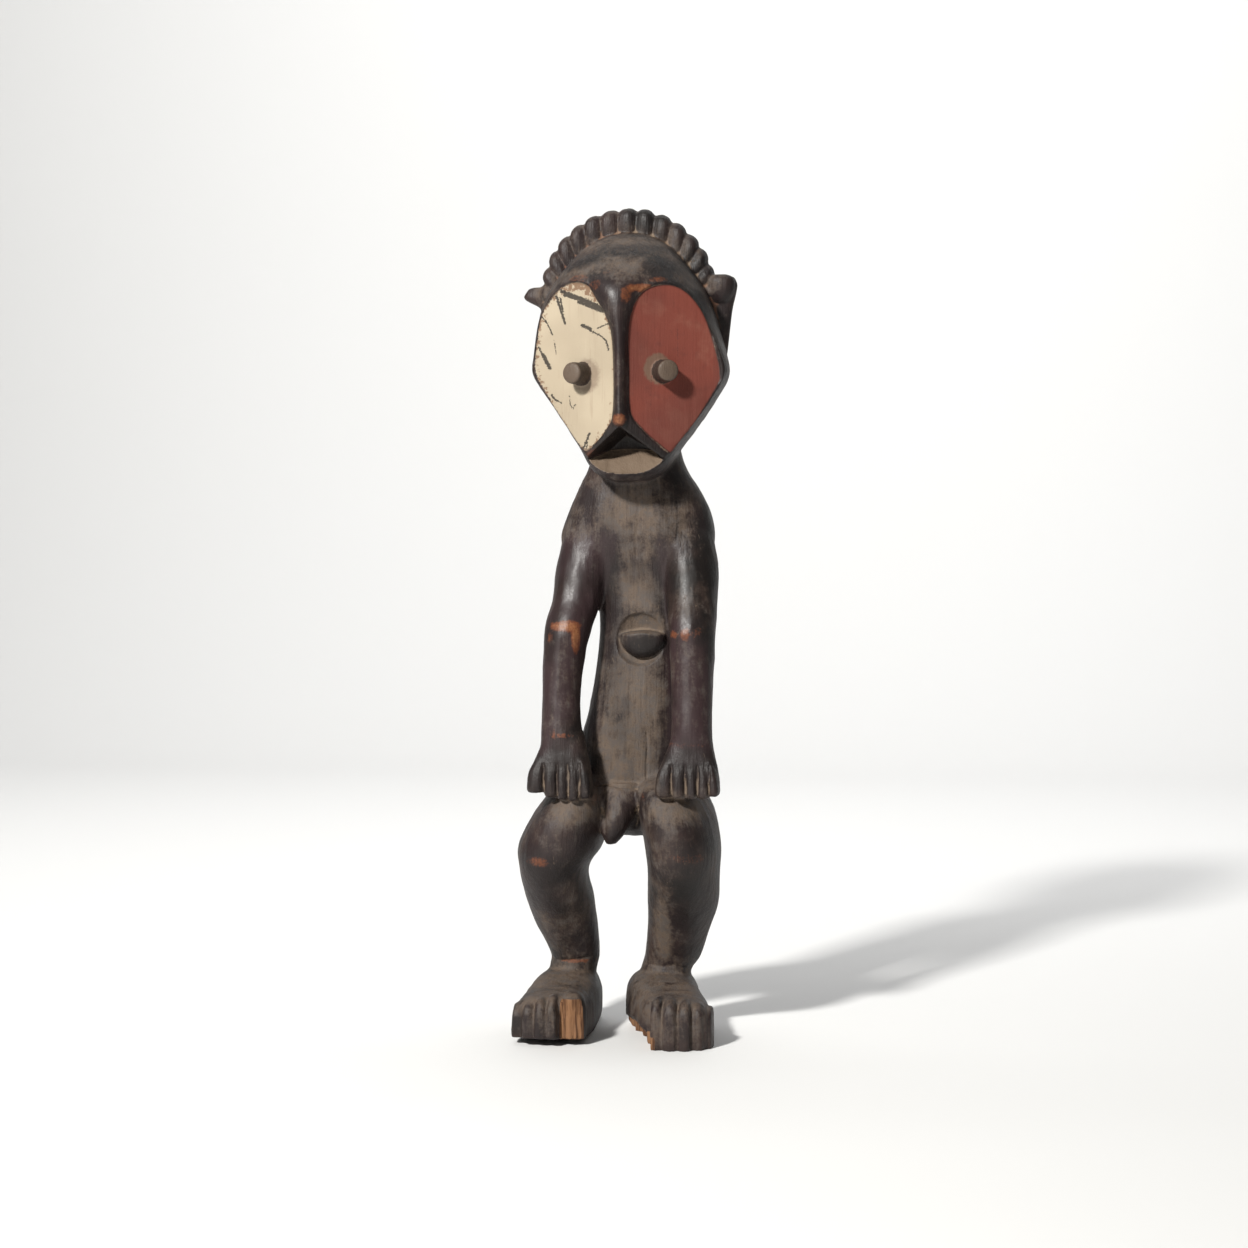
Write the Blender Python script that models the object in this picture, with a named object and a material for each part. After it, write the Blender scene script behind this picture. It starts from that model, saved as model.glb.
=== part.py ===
"""Carved standing figure, one block of wood, about 650 mm high.

The figure faces -Y and stands on +Z up. Its pose, proportions and carving are shares of its own height: every number
in the station lists below is in 650ths of the height, so at the real size it reads as millimetres.
"""
import math

import bmesh
import bpy
from mathutils import Vector

HEIGHT = 0.650
SHARES = 650.0
UNIT = HEIGHT / SHARES

# Colour and finish of the dusty dark wood.
WOOD_COLOUR = (0.085, 0.062, 0.048, 1.0)
WOOD_ROUGHNESS = 0.55

# Face: two flat planes that fall back from a central ridge.
RIDGE_X = 6.7
RIDGE_Y = -78.0
PLANE_ANGLE = math.radians(24.0)
PLATE_RECESS = 2.0

# Hair: rolls that run back over the head from a raised crest.
ROLL_COUNT = 17
ROLL_PHASES = (0.0, 0.16, 0.5, 0.84)
ROLL_FLATNESS = 0.36
ROLL_DEPTH = 4.0
CREST_RADIUS = 72.0
HAIR_TURN = 0.9
HAIR_FRONT = 5.0
CREST_SPREAD = math.radians(104.0)

# Peg eyes.
PEG_RADIUS = 8.4
PEG_LENGTH = 15.5

# Soles stand on z = 0; forms reach this far below it before they are cut flat.
SOLE_ALLOWANCE = 8.0

# The middle of the figure's outline on the floor, which becomes the origin.
STAND_MIDDLE = Vector((3.25, -12.0, 0.0))

MARGIN = 40.0


def clear_scene():
    """Remove every object so that the model starts from nothing."""
    for item in list(bpy.data.objects):
        bpy.data.objects.remove(item, do_unlink=True)


def blend_stations(stations, steps):
    """Read a Catmull-Rom curve through the stations, with the given number of steps between two of them."""
    result = []
    last = len(stations) - 1
    for index in range(last):
        before = stations[max(index - 1, 0)]
        start = stations[index]
        end = stations[index + 1]
        after = stations[min(index + 2, last)]
        for step in range(steps):
            t = step / steps
            result.append(tuple(
                0.5 * (2 * b + (c - a) * t + (2 * a - 5 * b + 4 * c - d) * t * t + (3 * b - a - 3 * c + d) * t ** 3)
                for a, b, c, d in zip(before, start, end, after)))
    result.append(tuple(stations[last]))
    return result


def rounded_ring(centre, across, along, width, depth_near, depth_far, power, sides):
    """Return a superellipse ring about a centre; the near half and the far half may differ in depth."""
    points = []
    for index in range(sides):
        angle = 2.0 * math.pi * (index + 0.5) / sides
        c = math.cos(angle)
        s = math.sin(angle)
        reach_across = width * math.copysign(abs(c) ** (2.0 / power), c)
        depth = depth_far if s > 0.0 else depth_near
        reach_along = depth * math.copysign(abs(s) ** (2.0 / power), s)
        points.append(centre + across * reach_across + along * reach_along)
    return points


def skin_rings(name, rings):
    """Join a row of equal rings into one closed body, in metres, and return it as a new object."""
    mesh = bpy.data.meshes.new(name)
    work = bmesh.new()
    loops = [[work.verts.new((point - STAND_MIDDLE) * UNIT) for point in ring] for ring in rings]
    count = len(loops[0])
    for low, high in zip(loops, loops[1:]):
        for index in range(count):
            following = (index + 1) % count
            work.faces.new((low[index], low[following], high[following], high[index]))
    work.faces.new(loops[0])
    work.faces.new(loops[-1])
    bmesh.ops.recalc_face_normals(work, faces=work.faces)
    work.to_mesh(mesh)
    work.free()
    body = bpy.data.objects.new(name, mesh)
    bpy.context.scene.collection.objects.link(body)
    return body


def upright_form(name, stations, sides, power=2.2, steps=2):
    """Loft level rings from stations of (z, x, y, half width, front depth, back depth)."""
    rings = []
    for z, x, y, width, front, back in blend_stations(stations, steps):
        rings.append(rounded_ring(Vector((x, y, z)), Vector((1, 0, 0)), Vector((0, 1, 0)),
                                  width, front, back, power, sides))
    return skin_rings(name, rings)


def lying_form(name, stations, sides, power=2.6, steps=2):
    """Loft upright rings that run along Y from stations of (y, x, z, half width, drop, rise)."""
    rings = []
    for y, x, z, width, drop, rise in blend_stations(stations, steps):
        rings.append(rounded_ring(Vector((x, y, z)), Vector((1, 0, 0)), Vector((0, 0, 1)),
                                  width, drop, rise, power, sides))
    return skin_rings(name, rings)


def make_torso():
    """Neckless trunk: sloping shoulders, slim waist and belly, down to the seat."""
    stations = [
        (464, 9, -8, 34, 28, 30),
        (446, 9.3, 0, 37.5, 30, 33),
        (428, 10.5, 1, 47, 33, 37),
        (409, 11, 2, 56, 35, 39),
        (387, 9.5, 2, 61, 34, 38),
        (366, 10.5, 2, 54, 30, 35),
        (345, 13.5, 2, 38, 28, 33),
        (319, 13.8, 2, 34.2, 28, 32),
        (285, 12.2, 2, 35.3, 30, 33),
        (243, 8, 3, 39.5, 33, 38),
        (215, 4.5, 6, 47, 35, 43),
        (192, 3, 9, 58, 36, 46),
        (175, 2, 11, 61, 34, 45),
        (160, 1, 13, 46, 27, 36),
        (152, 2, 14, 24, 14, 20),
    ]
    return upright_form("torso", stations, 22, 2.35)


def make_leg(name, stations):
    """One bent leg, from the hip down into the foot."""
    return upright_form(name, stations, 14, 2.2)


def make_legs():
    """Left and right legs as the photo shows them; the right knee stands a little lower."""
    left = [
        (206, -26, 6, 12, 24, 24),
        (197, -29, 2, 20, 42, 32),
        (188, -32.5, 0, 26, 55, 38),
        (168, -41.5, -7, 31, 57, 41),
        (146, -49.5, -14, 32.5, 51, 39),
        (127, -54.7, -14, 26.2, 45, 35),
        (104, -51, -8, 26.3, 36, 31),
        (84, -47.5, -1, 24.3, 27, 27),
        (58, -41.6, 6, 19.3, 19, 22),
        (46, -43, 7, 18.6, 18, 21),
        (26, -44, 8, 17.5, 17, 20),
    ]
    right = [
        (206, 29, 6, 12, 24, 24),
        (197, 33, 2, 20, 42, 32),
        (188, 36, 0, 27.5, 55, 38),
        (168, 43.5, -7, 29.5, 57, 41),
        (146, 48, -14, 29, 51, 39),
        (127, 48.3, -14, 27.8, 45, 35),
        (104, 47.3, -8, 27.6, 36, 31),
        (84, 43.5, -1, 25, 27, 27),
        (58, 37, 6, 21.8, 19, 22),
        (46, 31.5, 7, 19.8, 18, 21),
        (26, 30, 8, 18, 17, 20),
    ]
    return [make_leg("left_leg", left), make_leg("right_leg", right)]


def make_feet():
    """Blocky feet with flat soles; the lower part of each ring is cut off at the floor later."""
    low = SOLE_ALLOWANCE
    left = [
        (46, -43, 14, 12, 14 + low, 8),
        (38, -43, 18, 18, 18 + low, 16),
        (16, -45, 20, 22.5, 20 + low, 26),
        (-12, -47, 18, 26, 18 + low, 28),
        (-44, -48.5, 15, 28, 15 + low, 24),
        (-70, -49, 14, 27.5, 14 + low, 22.5),
        (-80, -49, 14, 24, 14 + low, 19),
    ]
    right = [
        (44, 26, 14, 14, 14 + low, 8),
        (36, 26, 18, 22, 18 + low, 16),
        (14, 28, 20, 28, 20 + low, 26),
        (-14, 32, 18, 29.5, 18 + low, 27),
        (-44, 43, 15, 29, 15 + low, 23),
        (-70, 50, 14, 25, 14 + low, 22),
        (-80, 53, 14, 21, 14 + low, 19),
    ]
    return [lying_form("left_foot", left, 16, 3.2), lying_form("right_foot", right, 16, 3.2)]


def make_toe(name, x_start, x_end, foot_middle, front, top):
    """One upright rounded bar between two grooves of the foot, fanned a little from the instep."""
    middle = 0.5 * (x_start + x_end)
    half = 0.5 * (x_end - x_start) + 0.5
    rear = middle - 0.16 * (middle - foot_middle)
    low = SOLE_ALLOWANCE
    stations = [
        (-50, rear, 10, half, 10 + low, top - 12),
        (front + 10, middle, 10, half, 10 + low, top - 10),
        (front + 3, middle, 10, half * 0.9, 10 + low, top - 13.5),
        (front, middle, 10, half * 0.6, 10 + low, top - 19),
    ]
    return lying_form(name, stations, 12, 3.0, 1)


def make_toes():
    """Five toes on the left foot and the four that are left on the right one, between the carved grooves."""
    left_grooves = [-77.5, -68.2, -58.1, -48.8, -40.3, -20.5]
    left_fronts = [-80, -86, -88.5, -88.5, -84]
    left_tops = [30, 33.5, 36, 38, 39.5]
    right_grooves = [31, 40.4, 52.0, 62.5, 71.5, 77.5]
    right_fronts = [-88, -90, -89, -84, -76]
    right_tops = [37.5, 37.5, 36.5, 34, 30]
    toes = []
    for side, grooves, fronts, tops in (("left", left_grooves, left_fronts, left_tops),
                                        ("right", right_grooves, right_fronts, right_tops)):
        foot_middle = 0.5 * (grooves[0] + grooves[-1])
        for index, (front, top) in enumerate(zip(fronts, tops)):
            name = "%s_toe_%d" % (side, index + 1)
            toes.append(make_toe(name, grooves[index], grooves[index + 1], foot_middle, front, top))
    return toes


def make_arms():
    """Both arms, brought forward at the elbow, down to the wrists."""
    left = [
        (418, -14, 0, 14, 16, 18),
        (396, -24, -2, 22, 24, 25),
        (368, -30.5, -9, 22.3, 25, 25),
        (340, -36, -18, 19.3, 23, 22),
        (318, -41, -28, 18.1, 23, 20),
        (296, -43.6, -33, 16.2, 20, 17),
        (266, -44.7, -39, 14.7, 17.5, 15),
        (240, -43.5, -45, 15.6, 15, 14),
        (226, -42.5, -48, 17, 13, 14),
    ]
    right = [
        (418, 34, 0, 14, 16, 18),
        (396, 46, -2, 21, 24, 25),
        (368, 52.5, -9, 21.8, 25, 25),
        (340, 55.3, -18, 19.8, 23, 22),
        (318, 56.7, -28, 18.2, 23, 20),
        (296, 57.2, -33, 17.3, 20, 17),
        (266, 57.6, -39, 16, 17.5, 15),
        (240, 58.2, -45, 15.6, 15, 14),
        (226, 58.6, -48, 17, 13, 14),
    ]
    return [upright_form("left_arm", left, 14, 2.2), upright_form("right_arm", right, 14, 2.2)]


def make_hand(name, grooves, lean, tip_heights):
    """Back of the hand and five straight fingers that lie on the thigh."""
    middle = 0.5 * (grooves[0] + grooves[-1])
    half = 0.5 * (grooves[-1] - grooves[0])
    stations = [
        (236, middle - lean, -47, 15, 12, 13),
        (222, middle - 0.5 * lean, -50, 19, 11, 14),
        (208, middle, -53, half - 1.5, 10, 18),
        (197, middle, -54, half - 1.5, 8, 22),
    ]
    forms = [upright_form(name, stations, 16, 2.6)]
    for index, tip in enumerate(tip_heights):
        x = 0.5 * (grooves[index] + grooves[index + 1])
        width = 0.5 * (grooves[index + 1] - grooves[index]) + 0.4
        fan = 0.25 * (x - middle)
        finger = [
            (216, x - fan, -52, width * 0.8, 11, 10),
            (206, x - 0.3 * fan, -54, width, 11.5, 12),
            (tip + 5, x, -55, width, 10.5, 14),
            (tip, x, -55, width * 0.7, 7, 10),
        ]
        forms.append(upright_form("%s_finger_%d" % (name, index + 1), finger, 8, 2.6, 1))
    return forms


def make_hands():
    """Hands with the grooves between the fingers at the places that the photo shows."""
    left = make_hand("left_hand", [-68.5, -55, -44.5, -36, -27, -18], -2.5, [191, 188, 186, 185, 187])
    right = make_hand("right_hand", [31.5, 44.5, 55, 64.5, 73.5, 81], -2.5, [189, 188, 188, 188, 190])
    return left + right


def make_head():
    """Egg-shaped head, wide at the cheeks, with straight sides down to the chin."""
    stations = [
        (432.5, 8.8, -46, 15, 16, 14),
        (438, 8.6, -44, 25, 26, 30),
        (447, 9.2, -42, 32, 36, 44),
        (462, 10, -40, 41.6, 42, 64),
        (482, 10.4, -38, 55, 50, 80),
        (502, 9.5, -34, 68.4, 58, 90),
        (516, 8.4, -30, 76, 62, 88),
        (530, 7.4, -24, 75, 66, 84),
        (550, 5, -15, 71.2, 72, 77),
        (570, 3.6, -7, 66.5, 72, 68),
        (586, 3.1, -3, 59, 66, 60),
        (601, 3, -2, 48.5, 56, 53),
        (614, 3, 0, 37, 43, 42),
        (624, 3, 2, 23, 27, 28),
        (629, 3, 3, 8, 9, 10),
    ]
    return upright_form("head", stations, 28, 2.5)


def hair_ring(y, radius, height, low_radius, front_groove):
    """One ring of the hair, with a scallop for each roll; the front rings also fall back in the grooves."""
    points = []
    centre = Vector((1.5, y, height))
    places = [roll + phase for roll in range(ROLL_COUNT) for phase in ROLL_PHASES] + [ROLL_COUNT]
    turn = HAIR_TURN * (1.0 - radius / CREST_RADIUS) if y < HAIR_FRONT else 0.0
    for place in places:
        along = 2.0 * place / ROLL_COUNT - 1.0
        angle = CREST_SPREAD * along * (1.0 + turn * (1.0 - along * along))
        scallop = 1.0 - abs(math.sin(math.pi * (place % 1.0))) ** ROLL_FLATNESS
        reach = radius * (1.0 - ROLL_DEPTH / CREST_RADIUS * scallop)
        fall = Vector((0.0, front_groove * scallop, 0.0))
        points.append(centre + Vector((math.sin(angle), 0.0, math.cos(angle))) * reach + fall)
    for share in (0.2, 0.4, 0.6, 0.8):
        angle = CREST_SPREAD + share * (2.0 * math.pi - 2.0 * CREST_SPREAD)
        points.append(centre + Vector((math.sin(angle), 0.0, math.cos(angle))) * low_radius)
    return points


def make_hair():
    """Crest of rolls over the head, from ear to ear, running back to a soft end behind."""
    stations = [
        (3, 47, 576, 46, 0),
        (-4.5, 51, 577, 50, 3.5),
        (-6.5, 59, 578, 54, 4.5),
        (-5.5, 66.5, 579, 56, 4.0),
        (1, 71, 579, 59, 1.5),
        (24, 68.5, 576.5, 60, 0),
        (42, 61, 569, 55, 0),
        (56, 44, 556, 42, 0),
        (66, 14, 541, 14, 0),
    ]
    return skin_rings("hair", [hair_ring(*station) for station in stations])


def make_ear(name, side, tip_x, tip_z, root_x):
    """Upright fin beside the hair's front edge, broad and pointed above and running out at the cheek."""
    stations = [
        (514, root_x - side * 3.0, 8, 5, 5, 6),
        (530, root_x - side * 0.5, 8, 7, 5.5, 8),
        (552, root_x, 7, 9, 6, 10),
        (570, root_x + side * 1.0, 6, 10.5, 6.5, 11),
        (tip_z - 3, 0.5 * (root_x + tip_x), 5, 0.5 * abs(tip_x - root_x) + 8, 6, 10),
        (tip_z + 2, 0.5 * (root_x + tip_x), 5, 0.5 * abs(tip_x - root_x) + 6.5, 4, 7),
    ]
    return upright_form(name, stations, 12, 2.0, 1)


def make_ears():
    """Ears: the left one shows only its pointed tip, the right one its full height."""
    return [make_ear("left_ear", -1.0, -74.0, 585.0, -57.0), make_ear("right_ear", 1.0, 80.5, 592.0, 73.0)]


def plane_axes(side):
    """Return a face plane's horizontal axis away from the ridge and its outward normal."""
    away = Vector((side * math.cos(PLANE_ANGLE), math.sin(PLANE_ANGLE), 0.0))
    outward = Vector((side * math.sin(PLANE_ANGLE), -math.cos(PLANE_ANGLE), 0.0))
    return away, outward


def make_face_cuts():
    """Slabs that cut the two flat face planes from the egg, meeting at the ridge."""
    cuts = []
    up = Vector((0, 0, 1))
    for name, side in (("left_face_cut", -1.0), ("right_face_cut", 1.0)):
        away, outward = plane_axes(side)
        ridge = Vector((RIDGE_X, RIDGE_Y, 0.0))
        corners = [(-MARGIN, 380), (150, 380), (150, 700), (-MARGIN, 700)]
        low = [ridge + away * a + up * b for a, b in corners]
        high = [point + outward * 2.0 * MARGIN for point in low]
        cuts.append(skin_rings(name, [low, high]))
    return cuts


def smooth_outline(points, steps):
    """Closed Catmull-Rom curve through a few outline points."""
    count = len(points)
    result = []
    for index in range(count):
        a, b, c, d = (points[(index + shift) % count] for shift in (-1, 0, 1, 2))
        for step in range(steps):
            t = step / steps
            result.append(tuple(
                0.5 * (2 * q + (r - p) * t + (2 * p - 5 * q + 4 * r - s) * t * t + (3 * q - p - 3 * r + s) * t ** 3)
                for p, q, r, s in zip(a, b, c, d)))
    return result


def make_plate_recesses():
    """Shallow beds of the painted planes, each inside a narrow standing rim."""
    outlines = {
        -1.0: [(14.4, 565), (5.5, 540), (4, 517.5), (4.6, 486), (11.5, 472), (21, 461.5), (32.3, 455.5), (43, 464),
               (56, 481), (70, 501.5), (79.5, 517.5), (78, 538.5), (74, 560), (65, 572.5), (55, 581.5), (43.8, 585.5),
               (32, 583.5), (22.5, 576)],
        1.0: [(6.2, 556), (7, 517.5), (8.2, 484.5), (18.2, 470.5), (30.4, 459.8), (43.2, 451.6), (51, 459), (65, 481),
              (80, 506), (81.8, 514), (79.8, 527), (70.5, 557), (62, 570.5), (51.5, 579.5), (39, 583), (25, 580.5),
              (14.5, 572.5)],
    }
    beds = []
    up = Vector((0, 0, 1))
    for side, points in outlines.items():
        away, outward = plane_axes(side)
        ridge = Vector((RIDGE_X, RIDGE_Y, 0.0)) - outward * PLATE_RECESS
        curve = smooth_outline(points, 2)
        low = [ridge + away * a + up * b for a, b in curve]
        high = [point + outward * 12.0 for point in low]
        beds.append(skin_rings("left_bed" if side < 0 else "right_bed", [low, high]))
    return beds


def make_ridge():
    """Rounded ridge between the planes: broad where it leaves the forehead, slim below, flared at its worn tip."""
    stations = [
        (474, 7, -64, 7.2, 16.5, 6),
        (480, 7, -64, 7.8, 18, 6),
        (492, 6.9, -64, 6.6, 18, 6),
        (520, 6.8, -64, 6.6, 18, 6),
        (545, 6.3, -64, 7.8, 18.5, 6),
        (562, 4.8, -61, 13, 21.5, 8),
        (577, 3.5, -54, 22, 26.5, 8),
        (589, 3, -45, 28, 27.5, 8),
        (599, 3, -38, 28, 21.5, 8),
        (609, 3, -30, 24, 17, 8),
    ]
    return upright_form("ridge", stations, 14, 2.0, 1)


def make_mouth_cut():
    """Mouth: an open angle below the ridge whose floor slopes down and forward as the lip shelf."""
    front = [(-24, 446.8), (6.5, 473), (43.5, 445), (34, 440.8), (22, 438), (8.5, 437), (-5, 438.8), (-15, 442.5)]
    back = [(-6, 456), (7.5, 468), (30, 456), (27, 456), (21, 456.5), (13.5, 457), (6, 456.5), (-1, 456.2)]
    rings = [[Vector((x, -100.0, z)) for x, z in front],
             [Vector((x, -66.0, z)) for x, z in front],
             [Vector((x, -46.0, z)) for x, z in back]]
    return skin_rings("mouth_cut", rings)


def make_pegs():
    """Peg eyes that stand square on the face planes."""
    pegs = []
    for name, side, away_distance, height in (("left_peg", -1.0, 35.5, 514.3), ("right_peg", 1.0, 35.2, 515.5)):
        away, outward = plane_axes(side)
        base = Vector((RIDGE_X, RIDGE_Y, height)) + away * away_distance - outward * (PLATE_RECESS + 4.0)
        length = PEG_LENGTH + 4.0
        rings = []
        for reach, radius in ((0.0, 1.12), (4.0, 1.12), (7.0, 1.0), (length - 1.5, 1.0), (length, 0.86)):
            rings.append(rounded_ring(base + outward * reach, away, Vector((0, 0, 1)),
                                      PEG_RADIUS * radius, PEG_RADIUS * radius, PEG_RADIUS * radius, 2.0, 16))
        pegs.append(skin_rings(name, rings))
    return pegs


def make_navel_cut():
    """Round dish that the navel lies in."""
    rings = []
    centre = Vector((15.5, -26.5, 309.0))
    for reach, radius in ((-20.0, 26.0), (0.0, 21.0), (5.0, 17.0), (7.5, 9.0)):
        rings.append(rounded_ring(centre + Vector((0, reach, 0)), Vector((1, 0, 0)), Vector((0, 0, 1)),
                                  radius, radius, radius, 2.0, 20))
    return skin_rings("navel_cut", rings)


def make_navel():
    """Half-moon button in the dish, flat above and round below."""
    rings = []
    for y, scale in ((-14.0, 1.0), (-24.0, 1.0), (-28.5, 0.8), (-31.0, 0.45)):
        points = []
        for index in range(11):
            angle = math.pi * index / 10.0
            points.append(Vector((16.8 - 17.8 * scale * math.cos(angle), y,
                                  312.5 - 17.5 * scale * math.sin(angle) ** 0.9)))
        points.append(Vector((16.8 + 9.0 * scale, y, 312.5 + 2.5 * scale)))
        points.append(Vector((16.8 - 9.0 * scale, y, 312.5 + 2.5 * scale)))
        rings.append(points)
    return skin_rings("navel", rings)


def make_loins():
    """Small tapering form below the belly, leaning to the figure's right."""
    stations = [
        (196, 1, -22, 15, 10, 16),
        (188, 0.5, -27, 15.5, 12, 18),
        (176, -1, -31, 14.5, 13, 20),
        (165, -3, -33, 11.5, 13, 18),
        (156, -5, -34, 8, 10, 12),
        (149.5, -6.4, -34, 3.5, 4.5, 5),
    ]
    return upright_form("loins", stations, 14, 1.8)


def make_sole_cut():
    """Block below the floor that makes the soles flat."""
    corners = [(-200, -200), (200, -200), (200, 200), (-200, 200)]
    return skin_rings("sole_cut", [[Vector((x, y, z)) for x, y in corners] for z in (-60.0, 0.0)])


def make_worn_sole_cut():
    """Wedge worn from under the front of the left foot, deepest at the toes."""
    profile = [(-30.0, -20.0), (-30.0, 0.0), (-100.0, 7.5), (-100.0, -20.0)]
    return skin_rings("worn_sole_cut", [[Vector((x, y, z)) for y, z in profile] for x in (-95.0, -12.0)])


def make_break_cuts():
    """Missing inner edge and big toe of the right foot, and the split face of the left big toe."""
    edge = [(-12, 52), (-2.5, 34), (4, 22), (3, 12), (11, 2), (12, -12), (20, -18), (21, -32), (28, -38), (29, -60),
            (32, -72), (31, -100), (-14, -100), (-14, 52)]
    low_break = skin_rings("right_break", [[Vector((x, y, -20.0)) for x, y in edge],
                                           [Vector((max(x - 4.0, -15.0), y, 9.0)) for x, y in edge],
                                           [Vector((max(x - 14.0, -16.0), y, 16.0)) for x, y in edge]])
    front = [(6, -50), (30.5, -66), (31, -100), (-14, -100), (-14, -50)]
    toe_break = skin_rings("toe_break", [[Vector((x, y, z)) for x, y in front] for z in (-20.0, 60.0)])
    face = [(-38.5, -79.5), (-31, -81.5), (-24, -79.0), (-12, -74.0), (-12, -100), (-38.5, -100)]
    split = skin_rings("split_toe", [[Vector((x, y, z)) for x, y in face] for z in (-20.0, 60.0)])
    return [low_break, toe_break, split]


def as_guides(forms, name):
    """Move forms to a collection of their own and mark them as guides that aren't part of the model."""
    group = bpy.data.collections.new(name)
    bpy.context.scene.collection.children.link(group)
    for form in forms:
        bpy.context.scene.collection.objects.unlink(form)
        group.objects.link(form)
        form.hide_render = True
        form.display_type = "WIRE"
    return group


def carve(body, name, group, operation):
    """Add one exact Boolean step between the body and a collection of guides."""
    step = body.modifiers.new(name, "BOOLEAN")
    step.operation = operation
    step.operand_type = "COLLECTION"
    step.collection = group
    step.solver = "EXACT"


def wood_material():
    """Dark, dusty, half-polished wood."""
    material = bpy.data.materials.new("dusty_dark_wood")
    material.use_nodes = True
    shader = material.node_tree.nodes["Principled BSDF"]
    shader.inputs["Base Color"].default_value = WOOD_COLOUR
    shader.inputs["Roughness"].default_value = WOOD_ROUGHNESS
    return material


def main():
    """Build the figure as one closed body."""
    clear_scene()
    body = make_torso()
    body.name = "carved_figure"
    body.data.name = "carved_figure"
    grown = make_legs() + make_feet() + make_toes() + make_arms() + make_hands()
    grown += [make_head(), make_hair(), make_loins()] + make_ears()
    carve(body, "grown_forms", as_guides(grown, "grown"), "UNION")
    cuts = make_face_cuts() + [make_navel_cut(), make_sole_cut(), make_worn_sole_cut()] + make_break_cuts()
    carve(body, "carved_away", as_guides(cuts, "cuts"), "DIFFERENCE")
    carve(body, "sunk_beds", as_guides(make_plate_recesses(), "beds"), "DIFFERENCE")
    carve(body, "set_forms", as_guides(make_pegs() + [make_navel(), make_ridge()], "set"), "UNION")
    carve(body, "mouth", as_guides([make_mouth_cut()], "mouth"), "DIFFERENCE")
    body.data.materials.append(wood_material())
    body.data.shade_smooth()
    body.data.set_sharp_from_angle(angle=math.radians(38.0))


if __name__ == "__main__":
    main()
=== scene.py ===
import itertools
import logging
import math
from dataclasses import dataclass
from enum import Enum
from typing import Sequence

import bpy
import numpy as np
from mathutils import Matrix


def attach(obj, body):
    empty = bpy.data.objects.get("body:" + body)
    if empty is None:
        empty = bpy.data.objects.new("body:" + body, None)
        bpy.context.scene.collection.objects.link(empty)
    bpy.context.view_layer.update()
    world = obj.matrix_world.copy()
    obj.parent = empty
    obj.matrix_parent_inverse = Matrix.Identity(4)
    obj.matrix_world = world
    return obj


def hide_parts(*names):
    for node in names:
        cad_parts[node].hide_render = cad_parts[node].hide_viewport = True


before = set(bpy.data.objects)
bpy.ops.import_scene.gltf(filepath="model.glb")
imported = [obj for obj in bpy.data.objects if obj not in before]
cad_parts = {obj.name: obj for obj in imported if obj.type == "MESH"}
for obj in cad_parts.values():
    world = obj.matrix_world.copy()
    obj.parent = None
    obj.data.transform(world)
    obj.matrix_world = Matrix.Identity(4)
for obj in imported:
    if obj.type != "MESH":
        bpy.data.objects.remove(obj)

# Looks of the carved standing figure: one dense carved and weathered piece, and a plain studio around it.
# Sizes are in 650ths of the figure's height, which are millimetres at its real size. It faces -Y.
# SHARE is one such part in metres, and STAND_MIDDLE the spot between the soles that becomes the origin.

log = logging.getLogger("carved_figure")

SHARE = 0.001
STAND_MIDDLE = np.array([3.25, -12.0, 0.0])
UP = np.array([0.0, 0.0, 1.0])

Stations = Sequence[Sequence[float]]
Fade = tuple[float, float]


class Side(Enum):
    """The viewer's left or right, with the sign of its x direction."""

    LEFT = -1.0
    RIGHT = 1.0


class Lie(Enum):
    """Which way a loft runs: level rings stacked along z, or upright rings strung along y."""

    UPRIGHT = "upright"
    LYING = "lying"


class Cut(Enum):
    """The Boolean steps that shape the block."""

    AWAY = "DIFFERENCE"
    ADD = "UNION"


# Surfaces

def cubic_spans(a: np.ndarray, b: np.ndarray, c: np.ndarray, d: np.ndarray, steps: int) -> np.ndarray:
    """Catmull-Rom cubic: half of 2b + (c - a) t + (2a - 5b + 4c - d) t^2 + (3b - a - 3c + d) t^3.

    Args:
        a: the row before each span.
        b: the row at its start.
        c: the row at its end.
        d: the row after it.
        steps: samples in each span, with t from 0 at b to just short of 1 at c.

    Returns:
        The sampled rows.
    """
    t = (np.arange(steps) / steps)[None, :, None]
    a, b, c, d = (rows[:, None] for rows in (a, b, c, d))
    slope, bend, twist = c - a, 2 * a - 5 * b + 4 * c - d, 3 * b - a - 3 * c + d
    return (0.5 * (2 * b + slope * t + bend * t ** 2 + twist * t ** 3)).reshape(-1, a.shape[-1])


def curve_through(stations: Stations, steps: int) -> np.ndarray:
    """Blend rows of numbers by the Catmull-Rom cubic of each span's four neighbours.

    Args:
        stations: rows of equal length.
        steps: samples in each span.

    Returns:
        The sampled rows, with the last station at the end.
    """
    rows = np.asarray(stations, dtype=float)
    padded = np.concatenate([rows[:1], rows, rows[-1:]])
    spans = cubic_spans(padded[:-3], padded[1:-2], padded[2:-1], padded[3:], steps)
    return np.concatenate([spans, rows[-1:]])


def closed_curve(points: Stations, steps: int) -> np.ndarray:
    """Blend a ring of points by the Catmull-Rom cubic, round and round.

    Args:
        points: corner points of the ring.
        steps: samples between two of them.

    Returns:
        The sampled points.
    """
    ring = np.asarray(points, dtype=float)
    return cubic_spans(*(np.roll(ring, shift, axis=0) for shift in (1, 0, -1, -2)), steps)


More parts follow.
